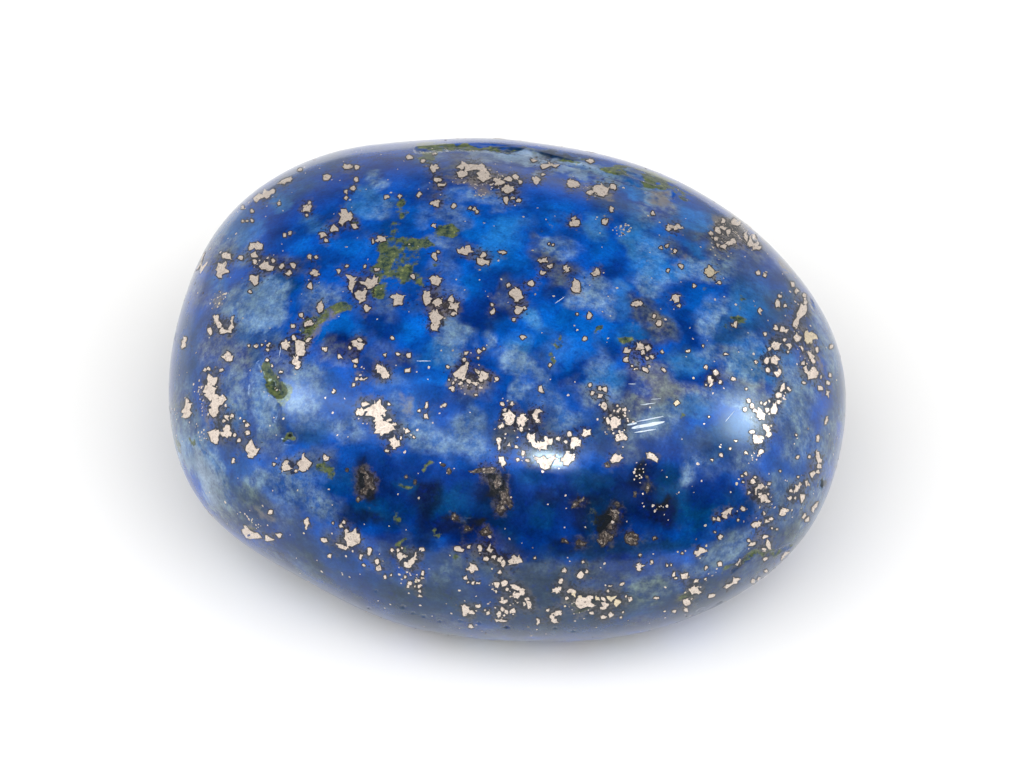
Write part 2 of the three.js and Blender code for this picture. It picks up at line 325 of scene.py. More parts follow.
# %% The strokes, in the order in which they are laid
# a tone, then its strokes: column, row, half length and half width in mm, strength, and a turn in
# degrees where there is one
STROKES = (
    # broad washes; the deep one across the front is partly painted shade, from the dark room in front
    # of the stone
    ("violet", (375, 156, 2.6, .5, .7, 4), (290, 185, 1.9, .7, .6, 30), (225, 235, 1.5, .6, .5, 55),
     (182, 350, .5, 2.6, .6, 5), (835, 400, .4, 2.6, .6), (300, 590, 3, .7, .6, -33),
     (430, 605, 3, .8, .7, -10), (590, 620, 3.4, .6, .7, 3), (720, 600, 2, .6, .5, 25),
     (800, 540, 1.5, .9, .5, 50), (770, 290, 2.2, 1.5, .7, -40), (700, 215, 1.6, .7, .6, -22)),
    ("deep", (520, 505, 8.4, 1.7, .75), (400, 480, 2.6, 1.1, .7, -8), (640, 500, 3.8, 1.7, .7, 5),
     (480, 530, 3.2, .8, .6, -6)),
    ("dusk", (230, 350, 1.7, 2.2, .5), (245, 430, 1.5, 1.3, .5), (280, 525, 2.2, .9, .6, -35),
     (470, 575, 2.6, .9, .6, -5), (620, 575, 3.4, .9, .7, 6), (780, 430, 1.4, 2.6, .4),
     (640, 410, 2, 1.6, .5), (735, 250, 1.8, 1.2, .5, -30), (480, 175, 2.6, .7, .5, -8)),
    # upper left
    ("indigo", (385, 165, 1.7, .55, .95), (345, 172, .9, .5, .7), (275, 220, 1.2, .8, .95, 20),
     (325, 195, 1.4, .7, .7, 25), (300, 205, .8, .7, .6), (350, 225, 1.2, .6, .5)),
    ("azure", (310, 245, 1.2, .5, .9), (245, 287, .5, .4, .7), (205, 298, .5, .5, .7),
     (335, 265, 1.6, 1.1, .6), (320, 295, 1.4, .6, .6)),
    ("light", (280, 205, .5, .6, .6), (370, 200, 1, .5, .7, -20), (245, 225, .7, .6, .6),
     (318, 228, .7, .35, .5), (230, 240, .6, .5, .5, 30), (222, 285, .4, .8, .5)),
    ("pale", (375, 183, .45, .35, .7), (383, 208, .4, .35, .5), (250, 248, .5, .7, .5)),
    ("bright", (350, 250, .9, .6, .6), (342, 330, .9, .45, .8), (305, 250, .4, .5, .5),
     (400, 328, 1.3, .45, .8), (465, 278, .8, .6, .8), (485, 225, 1.2, .7, .9), (505, 260, 1, .8, .7),
     (420, 215, .7, .5, .5), (408, 390, 1.4, .9, .6), (445, 380, .9, .6, .5)),
    ("dusk", (278, 263, .8, .45, .8), (292, 270, .6, .4, .6), (240, 300, .5, .8, .5),
     (400, 357, .65, .5, .85), (375, 345, .6, .5, .5), (215, 300, .6, .9, .5), (455, 165, .9, .4, .7),
     (430, 190, .7, .7, .5), (340, 165, .5, .3, .5)),
    ("sea", (288, 287, .45, .6, .8), (315, 290, .7, .4, .4), (385, 238, .5, .9, .5),
     (400, 250, 1, 1.2, .4)),
    ("pale", (268, 300, .95, .9, .95), (262, 315, .95, .45, .9, 20), (275, 288, .6, .5, .6),
     (250, 322, .8, .4, .5, 20)),
    ("navy", (378, 322, 1, .7, .8), (338, 348, .9, .5, .9), (365, 365, .6, .8, .7),
     (475, 312, 1.1, .9, .8), (495, 275, 1, .5, .5), (440, 305, .9, .7, .7), (350, 392, .7, .5, .6),
     (430, 395, 1, .5, .5), (470, 360, .9, .5, .5), (505, 300, .8, 1, .7), (515, 325, 1.1, .6, .6),
     (500, 400, 1.2, .7, .4)),
    ("violet", (245, 345, .6, 1.2, .6, 5), (275, 335, .9, .5, .6), (195, 345, .5, 1.2, .5, 5),
     (345, 395, .7, .7, .5), (325, 385, .5, .8, .5)),
    ("lilac", (272, 335, .8, .35, .6, 10), (250, 370, .5, 1.2, .6), (295, 365, .8, .7, .6),
     (300, 395, .9, 1.1, .7), (432, 243, .6, .35, .7), (440, 268, .6, .4, .5),
     (335, 420, .9, .7, .7, -20), (390, 385, .8, .5, .5), (450, 290, .7, .5, .6)),
    ("grey", (225, 365, .8, .7, .5), (222, 345, .9, .5, .5), (215, 248, .7, .8, .5, 30),
     (195, 285, .5, .9, .5, 15), (280, 360, .8, .6, .5, -30), (235, 400, .6, .9, .3)),
    ("pale", (455, 335, .8, .7, .95, 20), (447, 350, .8, .4, .8, 10), (493, 340, .5, .45, .7),
     (500, 195, 1.3, .4, .55, -8), (465, 195, .7, .35, .5), (518, 225, .5, .45, .4)),
    ("sky", (510, 225, .8, .7, .7), (505, 240, 1, .6, .5), (488, 250, .5, .6, .6),
     (432, 355, .9, .5, .5)),
    # upper right
    ("azure", (565, 235, 2.2, 1.3, .9), (570, 205, 1.8, .7, .7, -8), (618, 262, .9, .8, .95),
     (540, 300, 1.4, 1, .6), (620, 230, 1.2, .5, .4)),
    ("navy", (548, 282, .6, .9, .6), (612, 272, .6, .6, .6), (560, 265, .6, .3, .4),
     (690, 318, .6, 1.4, .7), (697, 290, .8, .5, .6), (618, 340, 1.2, .7, .7), (582, 368, 1.2, .6, .6),
     (630, 385, .9, .9, .9), (680, 355, .7, .5, .8), (650, 340, .7, .4, .6), (535, 335, .5, .5, .4),
     (700, 372, .8, .5, .7)),
    ("bright", (578, 330, 1.8, .8, .8), (560, 310, .8, .8, .5), (598, 245, .6, .8, .5),
     (550, 215, .8, .6, .6), (665, 310, .5, 1, .7), (640, 240, .4, .6, .4), (540, 345, .9, .5, .6),
     (625, 290, .5, .5, .5), (690, 268, .7, .4, .4)),
    ("violet", (620, 205, 1.5, .6, .7, -8), (612, 195, 1, .5, .5), (768, 300, 1.2, 1.5, .7, -30),
     (700, 225, 1.4, .6, .6, -20), (735, 330, .9, .8, .8), (750, 290, 1, .7, .5),
     (790, 325, .7, 1.3, .4, -15), (712, 350, .6, .4, .5)),
    ("light", (595, 225, .7, .5, .8), (640, 222, .8, .8, .8), (632, 245, .5, .7, .8, -20),
     (535, 325, .5, .6, .9), (520, 352, .5, .5, .7), (606, 375, .6, .8, .7), (622, 300, .6, .8, .5),
     (565, 350, .7, .35, .4), (770, 360, .9, .9, .6)),
    ("slate", (548, 262, .7, .7, .7), (565, 272, .6, .5, .6), (540, 250, .5, .3, .5),
     (645, 310, .8, .4, .9, -50), (660, 328, .7, .6, .9, -50), (655, 300, .5, .35, .7, -40),
     (510, 298, .5, .9, .5), (550, 352, .5, .7, .6), (735, 300, .6, .8, .5), (660, 245, .7, .5, .6),
     (680, 250, .8, .5, .5), (720, 240, 1.2, .8, .8, -35), (800, 300, .5, 1.1, .6, 25),
     (470, 385, 1, .6, .5), (700, 318, .2, .2, .2)),
    ("pale", (588, 295, 1, .75, .95, -10), (600, 300, .6, .8, .8, 10), (574, 300, .6, .5, .7),
     (700, 268, 1.3, .7, .75, 8), (722, 265, .7, .6, .5), (648, 262, .6, .9, .75),
     (660, 280, 1.1, .5, .7, -10), (713, 320, .5, .9, .95, -15), (716, 310, .5, .5, .5),
     (558, 250, .8, .4, .4), (516, 365, .9, .5, .9), (540, 378, .5, .5, .5), (518, 388, .45, .4, .7),
     (705, 352, .5, .4, .6, -40), (598, 360, .5, .6, .5)),
    ("sky", (645, 255, .8, 1, .6), (665, 272, 1, .6, .6), (745, 355, 1.1, .8, .5),
     (670, 225, .6, .8, .4)),
    ("grey", (650, 372, 1.3, .6, .8, 10), (665, 390, 1.1, .8, .95), (645, 405, 1.2, .8, .9),
     (742, 372, 1, .8, .9), (730, 355, .7, .5, .6), (768, 262, .9, .5, .6, -40), (655, 205, .9, .8, .5),
     (690, 395, .9, .6, .7), (575, 385, .6, .4, .3), (595, 395, .7, .6, .6),
     (540, 160, 1.2, .4, .5, -8), (600, 185, .9, .4, .5, -10)),
    ("mist", (795, 380, .8, 1.3, .7), (780, 405, .9, 1, .6), (760, 340, .8, .6, .5),
     (825, 330, .5, 1.5, .7, 15), (832, 370, .4, 1.2, .6), (735, 400, 1.6, .6, .5)),
    # the rim along the back
    ("mist", (500, 150, 2.8, .35, .85, -3), (590, 170, 1.8, .35, .8, -15), (650, 192, 1.4, .4, .5, -22),
     (430, 150, .8, .35, .6)),
    ("indigo", (515, 165, .9, .3, .7), (500, 158, 1.2, .2, .5, -4), (625, 192, .9, .4, .6, -15),
     (470, 155, .8, .2, .4)),
    # across the front, above the dark band
    ("violet", (312, 430, .9, .6, .7), (225, 480, .6, 1.2, .7, 35), (250, 470, .7, .6, .5),
     (545, 435, 1.3, .6, .6), (720, 440, 1.5, .8, .8), (790, 470, .9, .8, .6), (230, 420, .6, .6, .7),
     (600, 430, .7, .6, .5), (425, 415, .7, .4, .4)),
    ("azure", (345, 445, 1.2, .7, .7), (270, 475, .9, .6, .8, -40), (585, 450, 1, .6, .8),
     (485, 415, .6, 1, .7), (410, 425, .8, .6, .4), (775, 465, 1.2, .8, .6), (360, 385, .6, .7, .5)),
    ("pale", (262, 420, .4, 1.1, .7, 5), (300, 470, 1.2, .7, .4), (432, 438, 1.4, .7, .7, -10),
     (470, 428, .6, 1.1, .7), (400, 410, .8, .4, .5, -20), (562, 415, .9, .6, .7),
     (255, 395, .5, .8, .6), (700, 465, .6, 1, .6), (690, 485, .4, .7, .6), (790, 400, .7, 1.1, .5),
     (830, 440, .5, 1.6, .7, -5)),
    ("slate", (640, 430, 1.3, .8, .7), (615, 415, .9, .7, .6), (500, 430, .5, .8, .7),
     (540, 425, .8, .5, .5), (745, 465, .9, .8, .6), (270, 445, .9, .7, .5), (320, 455, .8, .6, .6),
     (235, 445, .6, .6, .4), (665, 425, .7, .8, .5)),
    ("mist", (285, 480, 1, .6, .6, -30), (258, 490, .6, .8, .8), (310, 495, 1.1, .6, .6),
     (332, 508, .8, .5, .6), (800, 440, .7, 1, .6), (770, 500, 1, .9, .5), (790, 520, .9, 1, .6, -30),
     (745, 470, .6, .5, .5)),
    # inside the dark band, partly the rock's own deep blues and partly painted shade from the dark room
    # in front
    ("indigo", (465, 478, 1.3, .7, .9), (430, 470, 1, .5, .8), (395, 468, .9, .4, .7),
     (350, 490, .6, .8, .8), (545, 475, 1.6, .7, .7), (612, 468, .9, .5, .7), (560, 525, .9, .9, .5),
     (530, 540, .9, .5, .5), (712, 475, .7, .6, .9), (400, 510, 1.2, .7, .4), (660, 465, .6, .4, .6),
     (640, 530, .9, .5, .4)),
    ("sea", (340, 480, .8, .7, .6), (370, 505, .7, .6, .7), (450, 500, 1, .7, .8),
     (590, 478, .8, .6, .7), (670, 485, .9, 1, .9), (700, 510, 1.2, 1, .9, 20),
     (405, 485, .6, .3, .7, -10), (545, 512, .7, .7, .6), (600, 520, .6, .9, .5),
     (470, 510, .6, .6, .4), (720, 500, .9, .6, .5), (530, 470, .7, .5, .6)),
    ("teal", (395, 510, .9, .5, .5), (500, 510, .8, .7, .5), (505, 535, .9, .5, .5),
     (595, 545, .9, .5, .5), (735, 505, .7, .6, .5), (610, 500, .8, .5, .4)),
    ("ink", (365, 480, .5, .8, .85, 10), (360, 515, .9, .4, .7), (428, 500, .7, .9, .7, -20),
     (490, 490, .7, .8, .6), (460, 528, 1.3, .4, .7), (575, 542, 1.2, .5, .7), (590, 510, .4, .8, .6),
     (635, 475, .9, .6, .75), (648, 510, .5, .9, .6), (665, 512, .7, .6, .85),
     (420, 540, .7, .3, .5, -20), (550, 492, .7, .3, .5), (615, 530, .5, .8, .6, 20),
     (500, 480, .7, .5, .4, -30)),
    # below the dark band
    ("slate", (365, 550, 1.3, .4, .7, -22), (390, 540, .9, .5, .5), (345, 535, .7, .6, .4),
     (470, 558, 1.4, .6, .7, -6), (540, 575, 1.6, .8, .8), (600, 570, 1.3, .5, .7),
     (405, 590, 1.2, .6, .4, -15), (530, 600, 1.2, .7, .6), (700, 590, 1.4, .6, .7, 25),
     (755, 560, 1.2, .6, .8, 30), (500, 580, .9, .7, .5), (285, 510, 1.1, .5, .5, -30)),
    ("umber", (500, 548, 1.1, .5, .5), (590, 595, 1.8, .4, .6, -4), (350, 545, .8, .3, .5, -20),
     (610, 560, 1, .3, .4), (690, 600, .7, .3, .5, 35), (270, 505, .6, .4, .3)),
    ("indigo", (290, 545, 1.5, .5, .7, -38), (355, 590, 1.6, .5, .6, -25), (420, 612, 1.8, .4, .5, -12),
     (490, 590, .7, .6, .5), (625, 562, .9, .4, .5), (720, 545, 1.5, .4, .4, 30),
     (590, 622, 1.8, .3, .5), (520, 618, .9, .4, .4, -5)),
    ("steel", (320, 570, 1.7, .4, .9, -38), (447, 578, .9, .6, .9), (425, 592, 1, .5, .8, -12),
     (385, 575, 1, .4, .4, -15), (485, 575, .6, .5, .6), (560, 605, 1, .5, .5), (460, 600, .9, .4, .6),
     (515, 628, 1.4, .3, .8), (640, 605, 1.2, .5, .6), (290, 560, 1.2, .4, .5, -35)),
    ("moss", (650, 585, 1.4, .7, .6, 8), (640, 600, 1, .4, .6), (252, 495, .5, .6, .5),
     (800, 530, .8, .8, .6, -30), (182, 440, .5, 1.2, .8, 20), (200, 470, .6, 1, .7, 30),
     (245, 520, 1, .3, .5, -40), (765, 575, 1, .4, .5, 35)),
    ("mist", (730, 548, 1.2, .6, .9, 30), (700, 560, .9, .4, .5, 25), (815, 500, .7, 1.2, .8, -20),
     (220, 500, .6, 1.3, .8, 35), (185, 415, .5, 1.6, .7), (205, 440, .6, 1.3, .5, 25),
     (835, 430, .4, 1.6, .6)),
    # more clouds on the right and round the left shoulder; the pale and misty strokes under the two
    # highlights and along the right rim are partly painted highlight and reflection
    ("grey", (672, 395, .7, 1.3, .6, 8), (748, 378, .6, .9, .55), (330, 352, .8, .5, .4, -30),
     (300, 345, .6, .5, .4), (800, 300, .5, .9, .5, 25)),
    ("mist", (742, 415, .7, .9, .75, 10), (800, 410, .6, 1.2, .6), (692, 470, .4, .9, .5, 12),
     (755, 450, .5, .7, .45), (785, 480, .7, .5, .5), (640, 440, 1, .4, .45),
     (300, 410, .7, .8, .5, -40), (345, 425, 1.1, .5, .5, -40), (230, 400, .6, 1.3, .5, 10)),
    ("pale", (735, 412, .5, .3, .5, -20), (325, 395, .9, .45, .5, -45), (835, 350, .3, .9, .5, -12),
     (812, 445, .35, .8, .4)),
    ("steel", (715, 465, .5, .9, .5, 15), (765, 500, .6, .9, .5, 10), (700, 440, .8, .4, .5),
     (590, 445, .9, .3, .4), (270, 420, .5, 1.2, .5, -8), (395, 430, 1.3, .5, .4, -10)),
    ("azure", (725, 488, .7, .5, .5), (770, 455, .4, .6, .5), (705, 425, .5, .3, .5)),
    ("pale", (432, 432, 1.7, .7, .55), (470, 440, .9, .4, .4), (600, 395, .8, .6, .3),
     (545, 395, .8, .6, .3)),
    ("navy", (400, 372, 1.4, .4, .4, -6), (540, 415, .7, .5, .5), (455, 398, .8, .35, .4),
     (610, 440, .9, .35, .5), (700, 408, .6, .4, .4)),
    # the pale rim low on the left, partly pale stone and partly a painted reflection of the bright
    # floor, and the pale ridge along the hollow at the back
    ("pale", (190, 452, .5, 1.5, .8, 24), (212, 490, .45, .9, .6, 42), (520, 157, 1.4, .2, .8, -8),
     (590, 172, 1.6, .2, .8, -14), (662, 193, .8, .2, .7, -24), (205, 470, .6, .6, .4)),
    ("grey", (180, 420, .35, 1, .6, 8), (535, 151, 1.4, .2, .5, -6), (665, 200, .9, .4, .7, -20)),
    # a second layer, which corrects the first
    ("azure", (790, 240, .5, 1.2, .8, -35), (685, 300, 1.2, .8, .7), (800, 300, .4, 1.2, .7, -20),
     (745, 225, 1, .5, .7, -38), (425, 172, 1.2, .5, .7), (770, 275, .7, .7, .6)),
    ("bright", (565, 350, 1.2, .7, .6), (705, 305, .7, .7, .5)),
    ("sky", (745, 300, .8, .9, .6), (690, 360, .8, .5, .4)),
    ("mist", (325, 300, .9, .7, .6), (385, 300, .7, .7, .4), (445, 240, .8, .4, .4),
     (172, 440, .3, 1, .8, 10)),
    ("light", (745, 365, 1, .7, .6), (690, 410, 1, .5, .5), (685, 355, .8, .5, .5)),
    # more painted reflection on the pale rim low on the left
    ("pale", (186, 462, .4, 1.5, .9, 24), (176, 430, .25, .8, .7, 10)),
    # darker still in the dark band, partly painted shade
    ("navy", (715, 495, 1.1, .7, .8), (650, 472, .7, .4, .7), (388, 538, .9, .5, .7, -15),
     (480, 540, 1.3, .4, .6, -6)),
    ("azure", (335, 398, .9, .8, .8), (665, 455, .9, .5, .7), (380, 155, 1.8, .4, .8, 12),
     (545, 182, 1, .35, .6, -8), (695, 245, .9, .5, .6, -30), (575, 395, .7, .6, .6)),
    ("sky", (635, 335, .7, .6, .7), (695, 245, .6, .4, .6, -30)),
    ("mist", (455, 215, .8, .5, .6), (425, 215, .5, .4, .4)),
    # painted shadow in the crack along the hollow at the back
    ("teal", (505, 147, 1.5, .17, .9, -3), (560, 157, .9, .15, .8, -12), (448, 144, .8, .12, .6)),
    # the pale rim low on the left once more, partly painted reflection, here and in the milk strokes
    # below
    ("pale", (245, 305, .8, .8, .7), (665, 425, .9, .5, .6), (212, 480, .9, 1.3, .9, 35),
     (205, 452, .6, 1.2, .7, 20), (225, 505, .9, .5, .7, -45), (520, 158, 1.5, .24, .9, -8)),
    ("azure", (340, 398, 1, .7, .8), (640, 393, .6, .5, .5), (660, 452, 1, .4, .5),
     (395, 398, .6, .5, .5)),
    ("bright", (515, 335, .8, .6, .6)),
    ("sky", (695, 215, .9, .4, .8, -34), (640, 192, 1, .25, .7, -24)),
    ("milk", (210, 484, .7, 1.3, 1, 35), (198, 462, .35, .9, .8, 22), (228, 508, .9, .4, .7, -45),
     (545, 159, 1.2, .18, .8, -8), (578, 165, .9, .18, .9, -14), (487, 154, 1, .18, .7, -4),
     (655, 197, .8, .12, .6, -24)),
    # painted shade along the dark band's lower and upper edges, in the sea, navy, slate and deep
    # strokes that follow
    ("sea", (600, 547, 2.4, .35, .8), (672, 543, 1.1, .35, .8, 12)),
    ("navy", (755, 485, .7, .6, .5), (575, 545, .9, .35, .6)),
    ("azure", (515, 335, .8, .6, .6), (345, 392, .8, .6, .6)),
    ("navy", (660, 453, 1.4, .5, .8), (700, 446, .7, .5, .5)),
    ("slate", (632, 452, .6, .45, .6)),
    ("mist", (302, 368, .8, .6, .6)),
    ("deep", (590, 546, 2.2, .3, .6)),
    # painted shadow in the crack again, wider
    ("teal", (495, 146, 1.7, .24, .9, -2), (560, 156, .9, .2, .8, -12)),
    ("azure", (590, 330, 2.4, 2.4, .22), (560, 205, 5, 1.2, .2, -12), (760, 250, 1.6, 2, .2, -35),
     (430, 430, 2.4, .8, .2), (420, 215, 3.5, 1.2, .22), (250, 215, 1.2, 1.2, .25, 40),
     (690, 200, 1.8, .8, .22, -25)),
    ("milk", (500, 160, 1.8, .26, .5, -2), (550, 165, 1.4, .24, .5, -10)),
    # painted shade in the pit on the left shoulder
    ("shade", (275, 393, .55, .6, .55)),
    # painted shade: a dark wash low down, where the floor's glare would make it too pale, then more
    # painted shade over the front face, below the dark band and at both ends
    ("dusk", (172, 400, .3, 2, .5, 4), (228, 517, 1.4, .45, .7, -48), (280, 568, 1.8, .45, .9, -36),
     (350, 606, 2, .45, .9, -24), (430, 627, 2, .4, .9, -12), (520, 636, 2.4, .4, .9, -2),
     (620, 634, 2.2, .4, .9, 8), (700, 613, 1.8, .4, .9, 25), (765, 580, 1.4, .4, .7, 40)),
    ("steel", (300, 572, 1, .4, .6, -36), (395, 612, 1.2, .3, .6, -18), (560, 630, 1.2, .3, .5),
     (740, 590, .9, .4, .6, 35)),
    ("shade", (600, 550, 4, .45, .5, 4), (725, 532, 1.6, .5, .4, 28), (420, 552, 2, .4, .35, -14),
     (330, 562, 2.4, .9, .6, -36), (430, 602, 2.8, 1, .75, -14), (560, 608, 3.8, 1.2, .8),
     (700, 596, 2.6, 1, .7, 24), (250, 505, 1.7, .9, .45, -48), (780, 530, 1.4, 1.3, .4, 48),
     (520, 572, 3.6, .9, .45), (560, 425, 3.6, 1.4, .3), (505, 415, 1.5, .9, .25),
     (420, 430, 2.4, 1.2, .18), (195, 400, .8, 2.4, .25, 8), (835, 400, .5, 2.6, .3, -6)),
)
print(sum(len(strokes) for _, *strokes in STROKES), "strokes")

# %% Noise that bends the strokes
# how long the bends are and how far they reach, in mm
BENDS = ((2.6, 0.50), (1.0, 0.36), (0.5, 0.26), (0.26, 0.12))

places, normals = coordinates(skin)
true_right, true_up = sheet_place(*frame_place(places))
sheet_x, sheet_y = true_right.copy(), true_up.copy()
for bend_size, bend_reach in BENDS:
    sheet_x += bend_reach * noise_values(places, bend_size, (11.3, 0.7, 4.1))
    sheet_y += bend_reach * noise_values(places, bend_size, (2.9, 17.1, 8.6))


def smooth(share):
    """Eases a share in and out, so that it starts and ends gently."""
    return share * share * (3 - 2 * share)


def stroke_cover(column, row, half_length, half_width, turn=0, solid=0.55, fade=1.3):
    """How much of each vertex a soft ellipse covers: 1 in its solid part, 0 past its fade."""
    right, up = sheet_place(column, row)
    u, v = turned_by(sheet_x - right, sheet_y - up, turn)
    u, v = u / half_length, v / half_width
    return smooth(np.clip((fade - np.sqrt(u * u + v * v)) / (fade - solid), 0, 1))


def covers(strokes, **softness):
    """The cover of one stroke after another, each as strong as its list says."""
    for column, row, half_length, half_width, strength, *turn in strokes:
        yield strength * stroke_cover(column, row, half_length, half_width, *turn, **softness)


def laid_over(below, tone, cover):
    """Colours with a tone laid over them, as far as it covers them."""
    return below + (np.array(TONES[tone]) - below) * cover[:, None]


painted = np.tile(np.array(TONES["azure"]), (len(places), 1))
for tone, *strokes in STROKES:
    for cover in covers(strokes):
        painted = laid_over(painted, tone, cover)
print("painted", len(painted), "vertices")

# %% [markdown]
# ## The side that the eye can't see
# Strokes placed from one side would smear out round the back. There, smooth noise of the same sizes
# deals out the same tones, and the two ways of placing them melt into each other at the rim.

# %% Clouds on the far side
# tone, how large its clouds are in mm, how rare they are, and how strong
FAR_CLOUDS = (
    ("violet", 4, .02, .7), ("navy", 3, .06, .8), ("bright", 2.6, .1, .8), ("deep", 2.1, .22, .8),
    ("dusk", 3, .14, .8), ("light", 1.8, .2, .8), ("pale", 2.4, .22, .95), ("slate", 1.6, .26, .8),
    ("grey", 2, .3, .9), ("sky", 1.4, .3, .7), ("ink", 1.2, .44, .7),
)
FAR_EDGE = 0.16  # how softly a far cloud ends
RIM_START, RIM_WIDTH = -0.06, 0.12  # how far the skin faces the eye where the strokes take over
FINER_TIMES = 2.3  # how much smaller the finer clouds are


def two_noises(size, offset, finer_share, finer_offset):
    """Noise of one size, with a share of finer noise added."""
    finer = noise_values(places, size / FINER_TIMES, finer_offset)
    return noise_values(places, size, offset) + finer_share * finer


facing = normals @ eye_way
seen = smooth(rising(facing, RIM_START, RIM_WIDTH))
far_painted = np.tile(np.array(TONES["azure"]), (len(places), 1))
for index, (tone, cloud_size, rarity, strength) in enumerate(FAR_CLOUDS):
    step = 7 * index
    cloud = two_noises(cloud_size, (31.0 + step, 5.0, 2.0), 0.5, (3.0, 41.0 + step, 9.0))
    far_painted = laid_over(far_painted, tone, strength * rising(cloud, rarity, FAR_EDGE))
painted = far_painted + (painted - far_painted) * seen[:, None]


def store(piece_mesh, name, values, kind="FLOAT"):
    """Keeps a number or a colour for each vertex, under a name that materials and trees read."""
    layer = piece_mesh.attributes.new(name, kind, "POINT")
    field = "color" if kind == "FLOAT_COLOR" else "value"
    layer.data.foreach_set(field, np.asarray(values, dtype=np.float32).ravel())


store(skin, "cloud", np.column_stack((painted, np.ones(len(painted)))), "FLOAT_COLOR")
print("stored the clouds; mean colour", painted.mean(axis=0).round(3))

# %% [markdown]
# ## Green, brown and black marks
# Thin patches of green diopside, brown stains round old pyrite and black specks have sharper edges
# than the clouds. They go into maps of their own, one number for each vertex, and the material cuts
# each map at a threshold roughened by fine noise. A threshold keeps an edge crisp where a stored
# colour, which can only change from one vertex to the next, would blur it.

